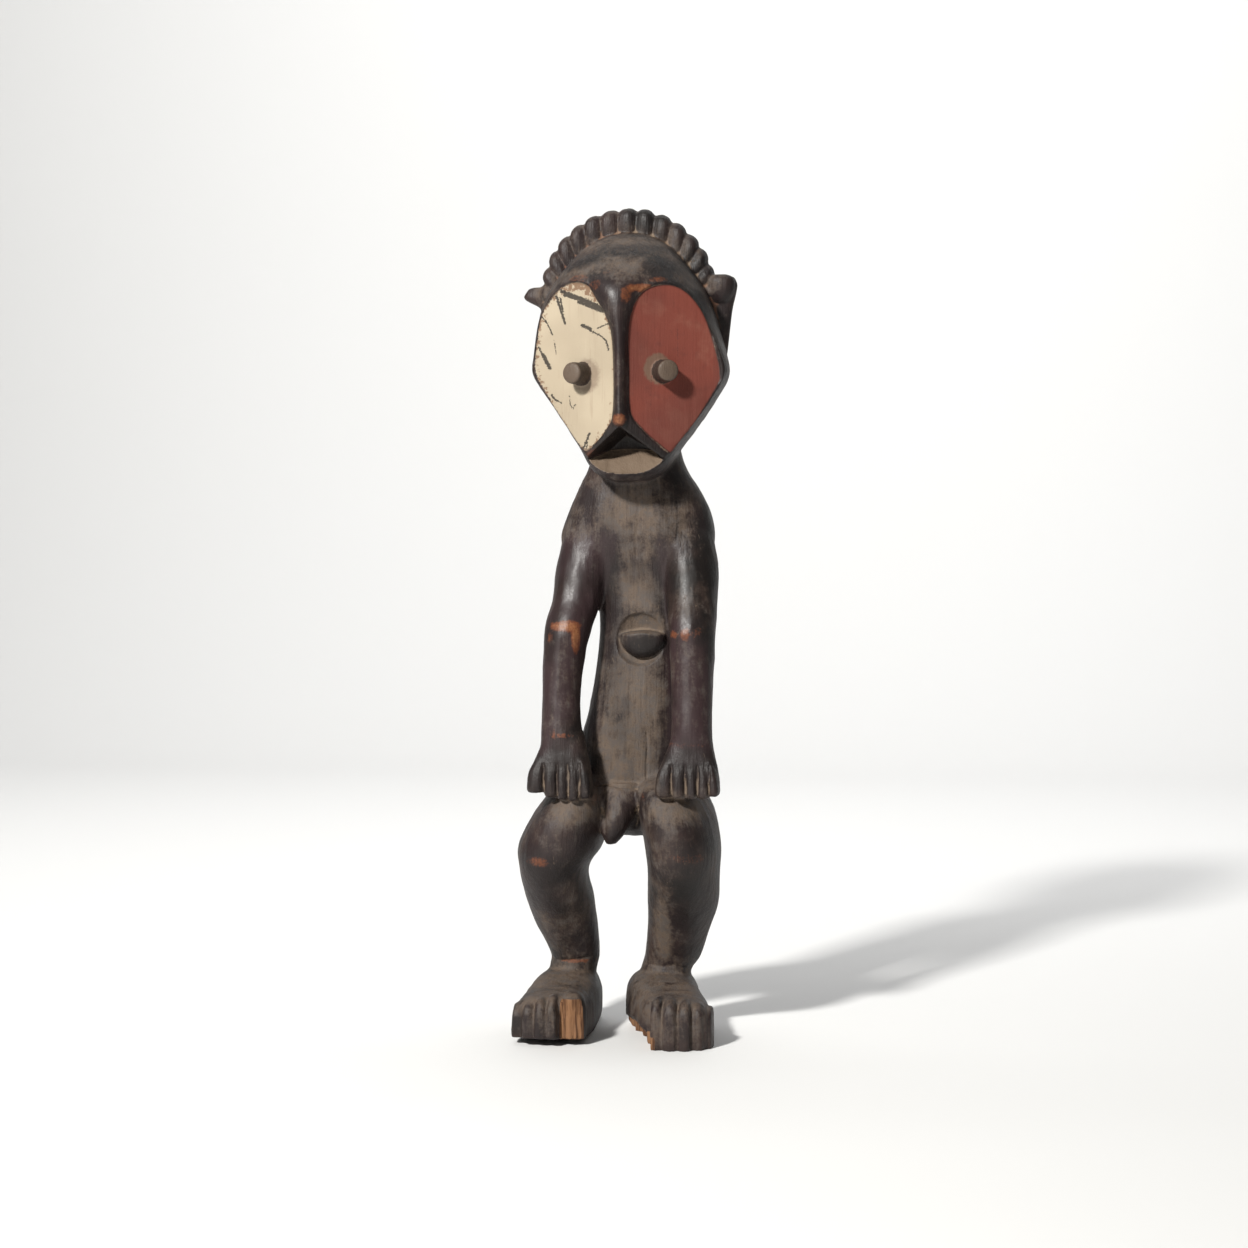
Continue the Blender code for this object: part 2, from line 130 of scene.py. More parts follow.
def loft(stations: Stations, lie: Lie, power: float, sides: int, steps: int) -> np.ndarray:
    """Carry a superellipse along a curve; its near half and far half may differ in depth.

    A point at angle t of a ring is centre + width * sign(cos t) |cos t|^(2/power) across, and
    centre + depth * sign(sin t) |sin t|^(2/power) along, with the far depth where sin t is above nought.

    Args:
        stations: rows of (run, x, middle, half width, near depth, far depth); run is z or y by the lie.
        lie: which way the loft runs.
        power: 2 for an ellipse, more for a squarer ring.
        sides: points in a ring.
        steps: rings in a span.

    Returns:
        A grid of points, rings by sides by 3.
    """
    run, x, middle, width, near, far = (column[:, None] for column in curve_through(stations, steps).T)
    angle = 2.0 * math.pi * (np.arange(sides) + 0.5) / sides
    c, s = np.cos(angle)[None], np.sin(angle)[None]
    across = x + width * np.sign(c) * np.abs(c) ** (2.0 / power)
    along = middle + np.where(s > 0.0, far, near) * np.sign(s) * np.abs(s) ** (2.0 / power)
    run = np.broadcast_to(run, across.shape)
    order = (across, along, run) if lie is Lie.UPRIGHT else (across, run, along)
    return np.stack(order, axis=-1)


def sweep(ring: np.ndarray, offsets: np.ndarray) -> np.ndarray:
    """Repeat a ring of points at each offset.

    Args:
        ring: points of one ring.
        offsets: one shift for each copy.

    Returns:
        A grid of points, copies by ring by 3.
    """
    return ring[None] + offsets[:, None]


@dataclass
class Shell:
    """Closed mesh as arrays: points in 650ths of the height, and triangles as rows of point numbers."""

    points: np.ndarray
    triangles: np.ndarray

    @classmethod
    def from_grid(cls, grid: np.ndarray) -> "Shell":
        """Skin a grid of rings into one closed body with a pole at each end.

        Args:
            grid: rings by sides by 3.

        Returns:
            The body, with its faces pointing out.
        """
        rings, sides = grid.shape[:2]
        number = np.arange(rings * sides).reshape(rings, sides)
        following = np.roll(number, -1, axis=1)
        low, high = number[:-1].ravel(), number[1:].ravel()
        low_next, high_next = following[:-1].ravel(), following[1:].ravel()
        first, last = rings * sides, rings * sides + 1
        skin = [np.stack([low, low_next, high_next], axis=1), np.stack([low, high_next, high], axis=1),
                np.stack([np.full(sides, first), following[0], number[0]], axis=1),
                np.stack([np.full(sides, last), number[-1], following[-1]], axis=1)]
        poles = np.stack([grid[0].mean(axis=0), grid[-1].mean(axis=0)])
        body = cls(np.concatenate([grid.reshape(-1, 3), poles]), np.concatenate(skin))
        if body.volume() < 0.0:
            body.triangles = body.triangles[:, ::-1]
        return body

    @classmethod
    def lofted(cls, stations: Stations, lie: Lie, power: float, sides: int = 96, steps: int = 12) -> "Shell":
        """Closed skin of a loft, with the arguments of loft()."""
        return cls.from_grid(loft(stations, lie, power, sides, steps))

    @classmethod
    def joined(cls, shells: Sequence["Shell"]) -> "Shell":
        """Put several bodies in one mesh.

        Args:
            shells: the bodies.

        Returns:
            One mesh that holds them all.
        """
        starts = np.cumsum([0] + [len(shell.points) for shell in shells[:-1]])
        triangles = [shell.triangles + start for shell, start in zip(shells, starts)]
        return cls(np.concatenate([shell.points for shell in shells]), np.concatenate(triangles))

    def volume(self) -> float:
        """Signed volume, which is above nought where the faces point out."""
        a, b, c = (self.points[self.triangles[:, corner]] for corner in range(3))
        return float(np.einsum("ij,ij->i", a, np.cross(b, c)).sum() / 6.0)

    def to_object(self, name: str) -> bpy.types.Object:
        """Write the arrays to a new object, in metres about the middle of the figure's stand.

        Args:
            name: the object's name.

        Returns:
            The object, linked to the scene.
        """
        mesh = bpy.data.meshes.new(name)
        corners = self.triangles.astype(np.int32).ravel()
        mesh.vertices.add(len(self.points))
        mesh.vertices.foreach_set("co", ((self.points - STAND_MIDDLE) * SHARE).ravel())
        mesh.loops.add(len(corners))
        mesh.loops.foreach_set("vertex_index", corners)
        mesh.polygons.add(len(self.triangles))
        mesh.polygons.foreach_set("loop_start", np.arange(0, len(corners), 3, dtype=np.int32))
        mesh.update(calc_edges=True)
        body = bpy.data.objects.new(name, mesh)
        bpy.context.scene.collection.objects.link(body)
        return body


class Block:
    """The piece being carved: an object whose steps are worked out one after another."""

    def __init__(self, shell: Shell, name: str) -> None:
        """Start from a first shell."""
        self.body = shell.to_object(name)

    def settle(self) -> None:
        """Work out the live modifiers and keep their result as the mesh."""
        graph = bpy.context.evaluated_depsgraph_get()
        mesh = bpy.data.meshes.new_from_object(self.body.evaluated_get(graph))
        old = self.body.data
        self.body.modifiers.clear()
        self.body.data = mesh
        bpy.data.meshes.remove(old)
        mesh.name = self.body.name

    def fuse(self, cell: float) -> None:
        """Melt overlapping bodies into one even skin.

        Args:
            cell: the skin's face size.
        """
        step = self.body.modifiers.new("fuse", "REMESH")
        step.mode = "VOXEL"
        step.voxel_size = cell * SHARE
        step.adaptivity = 0.0
        self.settle()

    def soften(self, turns: int, strength: float = 0.5) -> None:
        """Ease the creases by moving each vertex towards its neighbours.

        Args:
            turns: how many times.
            strength: share of the way each time.
        """
        step = self.body.modifiers.new("soften", "SMOOTH")
        step.factor = strength
        step.iterations = turns
        self.settle()

    def combine(self, shell: Shell, cut: Cut) -> None:
        """Add a body to the block or cut it away.

        Args:
            shell: the other body.
            cut: add or cut away.
        """
        tool = shell.to_object("tool")
        step = self.body.modifiers.new("combine", "BOOLEAN")
        step.operation = cut.value
        step.object = tool
        step.solver = "MANIFOLD"
        self.settle()
        mesh = tool.data
        bpy.data.objects.remove(tool, do_unlink=True)
        bpy.data.meshes.remove(mesh)

    def absorb(self, shells: Sequence[Shell]) -> None:
        """Lay more bodies into the same mesh, to be fused later.

        Args:
            shells: the bodies.
        """
        points, triangles = self.points(), self.triangles()
        name = self.body.name
        old = self.body.data
        fresh = Shell.joined([Shell(points, triangles), *shells]).to_object(name + "_more")
        self.body.data = fresh.data
        bpy.data.objects.remove(fresh, do_unlink=True)
        bpy.data.meshes.remove(old)
        self.body.data.name = name

    def thin(self, limit: int) -> None:
        """Collapse flat parts until the piece has fewer triangles than the limit.

        Args:
            limit: the most triangles it may have.
        """
        count = sum(len(polygon.vertices) - 2 for polygon in self.body.data.polygons)
        step = self.body.modifiers.new("thin", "DECIMATE")
        step.ratio = min(1.0, limit / count)
        self.settle()

    def read(self, items: Sequence, field: str, width: int, kind: type) -> np.ndarray:
        """Read one property of every vertex, edge or triangle as rows.

        Args:
            items: the mesh's vertices, edges or triangles.
            field: the property.
            width: numbers in a row.
            kind: number type.

        Returns:
            One row for each item.
        """
        flat = np.empty(len(items) * width, dtype=kind)
        items.foreach_get(field, flat)
        return flat.reshape(-1, width)

    def points(self) -> np.ndarray:
        """Vertices in 650ths of the height."""
        return self.read(self.body.data.vertices, "co", 3, np.float32).astype(float) / SHARE + STAND_MIDDLE

    def normals(self) -> np.ndarray:
        """Vertex normals."""
        return self.read(self.body.data.vertex_normals, "vector", 3, np.float32).astype(float)

    def triangles(self) -> np.ndarray:
        """Triangles as rows of vertex numbers."""
        self.body.data.calc_loop_triangles()
        return self.read(self.body.data.loop_triangles, "vertices", 3, np.int32)

    def edges(self) -> np.ndarray:
        """Edges as rows of two vertex numbers."""
        return self.read(self.body.data.edges, "vertices", 2, np.int32)

    def place(self, points: np.ndarray) -> None:
        """Move the vertices to new places, given in 650ths of the height."""
        metres = (points - STAND_MIDDLE) * SHARE
        self.body.data.vertices.foreach_set("co", metres.astype(np.float32).ravel())
        self.body.data.update()

    def note(self, name: str, values: np.ndarray) -> None:
        """Store one number for each vertex under a name that the finish reads."""
        layer = self.body.data.attributes.new(name, "FLOAT", "POINT")
        layer.data.foreach_set("value", values.astype(np.float32))

    def dress(self, material: bpy.types.Material) -> None:
        """Give every face one material."""
        mesh = self.body.data
        mesh.materials.clear()
        mesh.materials.append(material)
        mesh.polygons.foreach_set("material_index", np.zeros(len(mesh.polygons), dtype=np.int32))


# Forms of the figure

@dataclass(frozen=True)
class Trunk:
    """Sloping shoulders, slim waist and belly, down to the seat, and the small form below the belly."""

    power: float = 2.35
    stations: Stations = (
        (464, 9, -8, 34, 28, 30), (446, 9.3, 0, 37.5, 30, 33), (428, 10.5, 1, 47, 33, 37),
        (409, 11, 2, 56, 35, 39), (387, 9.5, 2, 61, 34, 38), (366, 10.5, 2, 54, 30, 35),
        (345, 13.5, 2, 38, 28, 33), (319, 13.8, 2, 34.2, 28, 32), (285, 12.2, 2, 35.3, 30, 33),
        (243, 8, 3, 39.5, 33, 38), (215, 4.5, 6, 47, 35, 43), (192, 3, 9, 58, 36, 46),
        (175, 2, 11, 61, 34, 45), (160, 1, 13, 46, 27, 36), (152, 2, 14, 24, 14, 20))
    loins: Stations = (
        (196, 1, -22, 15, 10, 16), (188, 0.5, -27, 15.5, 12, 18), (176, -1, -31, 14.5, 13, 20),
        (165, -3, -33, 11.5, 13, 18), (156, -5, -34, 8, 10, 12), (149.5, -6.4, -34, 3.5, 4.5, 5))

    def soft(self) -> list[Shell]:
        """The trunk."""
        return [Shell.lofted(self.stations, Lie.UPRIGHT, self.power, sides=160)]

    def crisp(self) -> list[Shell]:
        """The form below the belly."""
        return [Shell.lofted(self.loins, Lie.UPRIGHT, 1.8, sides=64)]


@dataclass(frozen=True)
class Navel:
    """Round dish with a half-moon button, flat above and round below."""

    dish: tuple[float, float, float] = (15.5, -26.5, 309.0)
    dish_rings: Stations = ((-20.0, 26.0), (0.0, 21.0), (5.0, 17.0), (7.5, 9.0))
    button: tuple[float, float] = (16.8, 312.5)
    half_width: float = 17.8
    drop: float = 17.5
    button_rings: Stations = ((-14.0, 1.0), (-24.0, 1.0), (-28.5, 0.84), (-30.6, 0.6), (-31.4, 0.3))

    def cut(self) -> Shell:
        """The dish: circles whose radius falls as they go deeper into the belly."""
        reach, radius = (column[:, None] for column in curve_through(self.dish_rings, 4).T)
        angle = 2.0 * math.pi * np.arange(64)[None] / 64
        grid = np.stack([self.dish[0] + radius * np.cos(angle), self.dish[1] + reach + 0.0 * angle,
                         self.dish[2] + radius * np.sin(angle)], axis=-1)
        return Shell.from_grid(grid)

    def form(self) -> Shell:
        """The button: half circles below a slightly arched top edge, shrinking towards the front."""
        y, scale = (column[:, None] for column in curve_through(self.button_rings, 4).T)
        lower = math.pi * np.arange(41)[None] / 40
        upper = np.linspace(0.9, -0.9, 13)[None]
        x_low = self.button[0] - self.half_width * scale * np.cos(lower)
        z_low = self.button[1] - self.drop * scale * np.sin(lower) ** 0.9
        x_top = self.button[0] + self.half_width * scale * upper
        z_top = self.button[1] + 3.0 * scale * (1.0 - upper ** 2)
        x, z = np.concatenate([x_low, x_top], axis=1), np.concatenate([z_low, z_top], axis=1)
        return Shell.from_grid(np.stack([x, y + 0.0 * x, z], axis=-1))


@dataclass(frozen=True)
class Leg:
    """One bent leg with its blocky foot and its toes between carved grooves."""

    leg: Stations
    foot: Stations
    grooves: Sequence[float]
    fronts: Sequence[float]
    tops: Sequence[float]
    foot_power: float = 3.2
    toe_power: float = 3.4
    floor_allowance: float = 8.0

    def soft(self) -> list[Shell]:
        """Leg and foot; the foot's underside reaches below the floor until it is cut flat."""
        foot = np.asarray(self.foot, dtype=float)
        foot[:, 4] += self.floor_allowance
        return [Shell.lofted(self.leg, Lie.UPRIGHT, 2.2, sides=96),
                Shell.lofted(foot, Lie.LYING, self.foot_power, sides=96)]

    def crisp(self) -> list[Shell]:
        """Toes: upright rounded bars, fanned a little from the instep."""
        middle = 0.5 * (self.grooves[0] + self.grooves[-1])
        toes = []
        for start, end, front, top in zip(self.grooves, self.grooves[1:], self.fronts, self.tops):
            centre = 0.5 * (start + end)
            half = 0.5 * (end - start) - 0.1
            rear = centre - 0.16 * (centre - middle)
            low = 10.0 + self.floor_allowance
            stations = ((-50, rear, 10, half, low, top - 12), (front + 16, centre, 10, half, low, top - 10),
                        (front + 8, centre, 10, half, low, top - 10.5),
                        (front + 3, centre, 10, half * 0.94, low, top - 13.5),
                        (front, centre, 10, half * 0.7, low, top - 19))
            toes.append(Shell.lofted(stations, Lie.LYING, self.toe_power, sides=56, steps=8))
        return toes


@dataclass(frozen=True)
class Arm:
    """Arm brought forward at the elbow, with a broad hand and five straight fingers on the thigh."""

    arm: Stations
    grooves: Sequence[float]
    tips: Sequence[float]
    lean: float = -2.5

    def soft(self) -> list[Shell]:
        """Arm and back of the hand."""
        middle = 0.5 * (self.grooves[0] + self.grooves[-1])
        half = 0.5 * (self.grooves[-1] - self.grooves[0])
        palm = ((236, middle - self.lean, -47, 15, 12, 13), (222, middle - 0.5 * self.lean, -50, 19, 11, 14),
                (208, middle, -53, half - 1.5, 10, 18), (197, middle, -54, half - 1.5, 8, 22))
        return [Shell.lofted(self.arm, Lie.UPRIGHT, 2.2), Shell.lofted(palm, Lie.UPRIGHT, 2.6)]

    def crisp(self) -> list[Shell]:
        """Fingers: bars of rounded section that part from the knuckles and end blunt."""
        middle = 0.5 * (self.grooves[0] + self.grooves[-1])
        fingers = []
        for start, end, tip in zip(self.grooves, self.grooves[1:], self.tips):
            x = 0.5 * (start + end)
            width = 0.5 * (end - start) - 0.1
            fan = 0.25 * (x - middle)
            stations = ((218, x - fan, -52, width * 0.7, 7.5, 10), (207, x - 0.3 * fan, -54, width, 10.2, 12),
                        (tip + 5, x, -55, width, 10.6, 14), (tip + 1.5, x, -55, width * 0.94, 9.8, 12),
                        (tip, x, -55, width * 0.75, 7.5, 10))
            fingers.append(Shell.lofted(stations, Lie.UPRIGHT, 2.9, sides=48, steps=8))
        return fingers


@dataclass(frozen=True)
class Head:
    """Egg-shaped head, wide at the cheeks, with its two ears."""

    power: float = 2.5
    stations: Stations = (
        (432.5, 8.8, -46, 15, 16, 14), (438, 8.6, -44, 25, 26, 30), (447, 9.2, -42, 32, 36, 44),
        (462, 10, -40, 41.6, 42, 64), (482, 10.4, -38, 55, 50, 80), (502, 9.5, -34, 68.4, 58, 90),
        (516, 8.4, -30, 76, 62, 88), (530, 7.4, -24, 75, 66, 84), (550, 5, -15, 71.2, 72, 77),
        (570, 3.6, -7, 66.5, 72, 68), (586, 3.1, -3, 59, 66, 60), (601, 3, -2, 48.5, 56, 53),
        (614, 3, 0, 37, 43, 42), (624, 3, 2, 23, 27, 28), (629, 3, 3, 8, 9, 10))
    ears: Sequence[tuple[Side, float, float, float]] = (
        (Side.LEFT, -74.0, 585.0, -57.0), (Side.RIGHT, 80.5, 592.0, 73.0))
    knob: Stations = (
        (574, 75, 3, 7, 6, 5), (581, 75.5, 1, 10, 8, 6), (588, 75.8, 0, 10.8, 8, 6),
        (593, 76, 0, 9.5, 7, 6), (596, 76.5, 1, 5, 4.5, 4))

    def soft(self) -> list[Shell]:
        """The egg."""
        return [Shell.lofted(self.stations, Lie.UPRIGHT, self.power, sides=200)]

    def crisp(self) -> list[Shell]:
        """Ears: upright fins, broad and pointed above, that run out at the cheek."""
        fins = []
        for side, tip_x, tip_z, root_x in self.ears:
            middle, reach = 0.5 * (root_x + tip_x), 0.5 * abs(tip_x - root_x)
            stations = ((514, root_x - side.value * 3.0, 8, 5, 5, 6),
                        (530, root_x - side.value * 0.5, 8, 7, 5.5, 8),
                        (552, root_x, 7, 9, 6, 10), (570, root_x + side.value, 6, 10.5, 6.5, 11),
                        (tip_z - 6, middle, 5, reach + 8, 6, 10), (tip_z - 1, middle, 5, reach + 7.2, 5.4, 9),
                        (tip_z + 2, middle, 5, reach + 5, 4.2, 6),
                        (tip_z + 3.2, middle, 5, reach + 1.5, 2, 3))
            fins.append(Shell.lofted(stations, Lie.UPRIGHT, 2.2, sides=64))
        return fins + [Shell.lofted(self.knob, Lie.UPRIGHT, 2.2, sides=64)]


@dataclass(frozen=True)
class Hair:
    """Crest of rolls over the head from ear to ear, with deep grooves, running back to a soft end."""

    rolls: int = 17
    spread: float = math.radians(104.0)
    middle: float = 1.5
    depth: float = 5.6
    per_roll: int = 24
    crest_radius: float = 72.0
    turn: float = 0.9
    front: float = 5.0
    flatness: float = 0.36
    stations: Stations = (
        (3, 47, 576, 46, 0), (-4.5, 51, 577, 50, 4), (-6.5, 59, 578, 54, 5.5), (-5.5, 66.5, 579, 56, 5),
        (-1, 70, 579, 58, 2.5), (7, 71, 579, 60, 0), (24, 68.5, 576.5, 60, 0), (40, 62, 570, 56, 0),
        (52, 51, 561, 48, 0), (61, 35, 550, 34, 0), (66, 14, 541, 14, 0))

    def bumps(self, share: np.ndarray) -> np.ndarray:
        """Depth below a roll's top, from 0 there to 1 in the groove, as a share of the way round."""
        phase = (share * self.rolls) % 1.0
        return 1.0 - np.abs(np.sin(math.pi * phase)) ** self.flatness

    def crisp(self) -> list[Shell]:
        """The crest: arcs whose radius dips by the bumps between rolls, closed below by a plain arc.

        The front rings also fall back in the grooves, and turn so that the strips between them stand upright.
        """
        y, radius, height, low, fall = (column[:, None] for column in curve_through(self.stations, 10).T)
        share = np.arange(self.rolls * self.per_roll + 1)[None] / (self.rolls * self.per_roll)
        along = 2.0 * share - 1.0
        turn = self.turn * (1.0 - radius / self.crest_radius) * (y < self.front)
        angle = self.spread * along * (1.0 + turn * (1.0 - along ** 2))
        taper = np.clip(radius / 60.0, 0.0, 1.0)
        reach = radius - self.depth * taper * self.bumps(share)
        under = self.spread + np.linspace(0.05, 0.95, 40)[None] * (2.0 * math.pi - 2.0 * self.spread)
        back = np.concatenate([fall * self.bumps(share), np.zeros((len(y), 40))], axis=1)
        angle = np.concatenate([angle, under + 0.0 * y], axis=1)
        reach = np.concatenate([reach, low + 0.0 * under], axis=1)
        across, up = self.middle + np.sin(angle) * reach, height + np.cos(angle) * reach
        return [Shell.from_grid(np.stack([across, y + back, up], axis=-1))]


@dataclass(frozen=True)
class Face:
    """Two planes that fall back from a ridge, each with a painted bed and a peg eye, over the mouth."""

    ridge_x: float = 6.7
    ridge_y: float = -78.0
    fall: float = math.radians(24.0)
    recess: float = 2.0
    peg_radius: float = 8.4
    peg_length: float = 15.5
    peg_root: float = 4.0
    pegs: Sequence[tuple[Side, float, float]] = ((Side.LEFT, 35.5, 514.3), (Side.RIGHT, 35.2, 515.5))
    left_bed: Stations = (
        (14.4, 565), (5.5, 540), (4, 517.5), (4.6, 486), (11.5, 472), (21, 461.5), (32.3, 455.5),
        (43, 464), (56, 481), (70, 501.5), (79.5, 517.5), (78, 538.5), (74, 560), (65, 572.5),
        (55, 581.5), (43.8, 585.5), (32, 583.5), (22.5, 576))
    right_bed: Stations = (
        (6.2, 556), (7, 517.5), (8.2, 484.5), (18.2, 470.5), (30.4, 459.8), (43.2, 451.6), (51, 459),
        (65, 481), (80, 506), (81.8, 514), (79.8, 527), (70.5, 557), (62, 570.5), (51.5, 579.5),
        (39, 583), (25, 580.5), (14.5, 572.5))
    ridge: Stations = (
        (474, 7, -64, 7.2, 16.5, 6), (480, 7, -64, 7.8, 18, 6), (492, 6.9, -64, 6.6, 18, 6),
        (520, 6.8, -64, 6.6, 18, 6), (545, 6.3, -64, 7.8, 18.5, 6), (562, 4.8, -61, 13, 21.5, 8),
        (577, 3.5, -54, 22, 26.5, 8), (589, 3, -45, 28, 27.5, 8), (599, 3, -38, 28, 21.5, 8),
        (609, 3, -30, 24, 17, 8))
    mouth_front: Stations = (
        (-24, 446.8), (6.5, 473), (43.5, 445), (34, 440.8), (22, 438), (8.5, 437), (-5, 438.8), (-15, 442.5))
    mouth_back: Stations = (
        (-6, 456), (7.5, 468), (30, 456), (27, 456), (21, 456.5), (13.5, 457), (6, 456.5), (-1, 456.2))

    def axes(self, side: Side) -> tuple[np.ndarray, np.ndarray]:
        """A plane's level axis away from the ridge and its outward normal."""
        away = np.array([side.value * math.cos(self.fall), math.sin(self.fall), 0.0])
        outward = np.array([side.value * math.sin(self.fall), -math.cos(self.fall), 0.0])
        return away, outward

    def on_plane(self, side: Side, outline: np.ndarray, lift: float) -> np.ndarray:
        """Points of (away, height) on a face plane, lifted off it along its normal."""
        away, outward = self.axes(side)
        root = np.array([self.ridge_x, self.ridge_y, 0.0]) + outward * lift
        return root + outline[:, :1] * away + outline[:, 1:] * UP

    def flattened(self, side: Side, points: np.ndarray) -> tuple[np.ndarray, np.ndarray]:
        """Points as they lie against a face plane.

        Args:
            side: which face plane.
            points: the points.

        Returns:
            Rows of (away from the ridge, height), and how far each point stands out from the plane.
        """
        away, outward = self.axes(side)
        off = points - np.array([self.ridge_x, self.ridge_y, 0.0])
        return np.column_stack([off @ away, points[:, 2]]), off @ outward

    def plane_cut(self, side: Side) -> Shell:
        """Slab in front of one face plane."""
        corners = np.array([(-40, 380), (150, 380), (150, 700), (-40, 700)], dtype=float)
        return Shell.from_grid(np.stack([self.on_plane(side, corners, lift) for lift in (0.0, 80.0)]))

    def bed(self, side: Side) -> np.ndarray:
        """Smooth outline of a painted bed, as (away from the ridge, height)."""
        return closed_curve(self.left_bed if side is Side.LEFT else self.right_bed, 8)

    def bed_cut(self, side: Side) -> Shell:
        """Body that sinks one painted bed."""
        outline = self.bed(side)
        layers = [self.on_plane(side, outline, lift) for lift in (-self.recess, 12.0)]
        return Shell.from_grid(np.stack(layers))

    def ridge_form(self) -> Shell:
        """Rounded ridge, broad where it leaves the forehead, slim below, flared at its worn tip."""
        return Shell.lofted(self.ridge, Lie.UPRIGHT, 2.1, sides=72)

    def mouth_cut(self) -> Shell:
        """Open angle below the ridge whose floor slopes down and forward as the lip shelf."""
        places = ((self.mouth_front, -100.0), (self.mouth_front, -66.0), (self.mouth_back, -46.0))
        rings = [np.insert(np.array(ring, dtype=float), 1, y, axis=1) for ring, y in places]
        return Shell.from_grid(np.stack(rings))

    def peg(self, side: Side, away_distance: float, height: float) -> Shell:
        """Peg eye that stands square on its plane, with a worn bevel and a slightly domed end.

        Each ring is a circle about the peg's axis; its radius is a function of the reach along the axis.

        Args:
            side: which face plane.
            away_distance: how far from the ridge.
            height: how high.

        Returns:
            The peg.
        """
        away, outward = self.axes(side)
        base = self.on_plane(side, np.array([[away_distance, height]]), -self.recess - self.peg_root)[0]
        length = self.peg_length + self.peg_root
        profile = np.array([(0.0, 1.1), (self.peg_root, 1.1), (6.5, 1.0), (length - 2.4, 1.0),
                            (length - 0.9, 0.95), (length - 0.2, 0.84), (length + 0.3, 0.4)])
        reach, radius = profile[:, 0][:, None, None], self.peg_radius * profile[:, 1][:, None, None]
        angle = 2.0 * math.pi * np.arange(48)[None, :, None] / 48
        circle = np.cos(angle) * away + np.sin(angle) * UP
        return Shell.from_grid(base + reach * outward + radius * circle)


def slab(outline: Stations, heights: Sequence[float]) -> Shell:
    """Upright body over a flat outline.

    Args:
        outline: points of (x, y).
        heights: its lower and upper z.

    Returns:
        The body.
    """
    ring = np.array([(x, y, 0.0) for x, y in outline])
    return Shell.from_grid(sweep(ring, np.array([(0.0, 0.0, z) for z in heights])))


@dataclass(frozen=True)
class Losses:
    """What wear and breaks took away: flat soles, a worn front, a lost inner edge and a split big toe."""

    floor: Stations = ((-200, -200), (200, -200), (200, 200), (-200, 200))
    worn: Stations = ((-30.0, -20.0), (-30.0, 0.0), (-100.0, 7.5), (-100.0, -20.0))
    edge: Stations = (
        (-12, 52), (-2.5, 34), (4, 22), (3, 12), (11, 2), (12, -12), (20, -18), (21, -32), (28, -38),
        (29, -60), (32, -72), (31, -100), (-14, -100), (-14, 52))
    toe: Stations = ((6, -50), (30.5, -66), (31, -100), (-14, -100), (-14, -50))
    split: Stations = ((-38.5, -79.5), (-31, -81.5), (-24, -79.0), (-12, -74.0), (-12, -100), (-38.5, -100))

    def cuts(self) -> list[Shell]:
        """The bodies to cut away."""
        worn = np.array([(0.0, y, z) for y, z in self.worn])
        edge = np.array(self.edge, dtype=float)
        lean = [np.column_stack([np.maximum(edge[:, 0] - shift, limit), edge[:, 1], np.full(len(edge), z)])
                for shift, limit, z in ((0.0, -14.0, -20.0), (4.0, -15.0, 9.0), (14.0, -16.0, 16.0))]
        return [slab(self.floor, (-60.0, 0.0)),
                Shell.from_grid(sweep(worn, np.array([(-95.0, 0.0, 0.0), (-12.0, 0.0, 0.0)]))),
                Shell.from_grid(np.stack(lean)), slab(self.toe, (-20.0, 60.0)),
                slab(self.split, (-20.0, 60.0))]


LEFT_LEG = Leg(
    leg=((206, -26, 6, 12, 24, 24), (197, -29, 2, 20, 42, 32), (188, -32.5, 0, 26, 55, 38),
         (168, -41.5, -7, 31, 57, 41), (146, -49.5, -14, 32.5, 51, 39), (127, -54.7, -14, 26.2, 45, 35),
         (104, -51, -8, 26.3, 36, 31), (84, -47.5, -1, 24.3, 27, 27), (58, -41.6, 6, 19.3, 19, 22),
         (46, -43, 7, 18.6, 18, 21), (26, -44, 8, 17.5, 17, 20)),
    foot=((46, -43, 14, 12, 14, 8), (38, -43, 18, 18, 18, 16), (16, -45, 20, 22.5, 20, 26),
          (-12, -47, 18, 26, 18, 28), (-44, -48.5, 15, 28, 15, 24), (-70, -49, 14, 27.5, 14, 22.5),
          (-80, -49, 14, 24, 14, 19)),
    grooves=(-77.5, -68.2, -58.1, -48.8, -40.3, -20.5), fronts=(-80, -86, -88.5, -88.5, -84),
    tops=(30, 33.5, 36, 38, 39.5))
RIGHT_LEG = Leg(
    leg=((206, 29, 6, 12, 24, 24), (197, 33, 2, 20, 42, 32), (188, 36, 0, 27.5, 55, 38),
         (168, 43.5, -7, 29.5, 57, 41), (146, 48, -14, 29, 51, 39), (127, 48.3, -14, 27.8, 45, 35),
         (104, 47.3, -8, 27.6, 36, 31), (84, 43.5, -1, 25, 27, 27), (58, 37, 6, 21.8, 19, 22),
         (46, 31.5, 7, 19.8, 18, 21), (26, 30, 8, 18, 17, 20)),
    foot=((44, 26, 14, 14, 14, 8), (36, 26, 18, 22, 18, 16), (14, 28, 20, 28, 20, 26),
          (-14, 32, 18, 29.5, 18, 27), (-44, 43, 15, 29, 15, 23), (-70, 50, 14, 25, 14, 22),
          (-80, 53, 14, 21, 14, 19)),
    grooves=(31, 40.4, 52.0, 62.5, 71.5, 77.5), fronts=(-88, -90, -89, -84, -76),
    tops=(37.5, 37.5, 36.5, 34, 30))
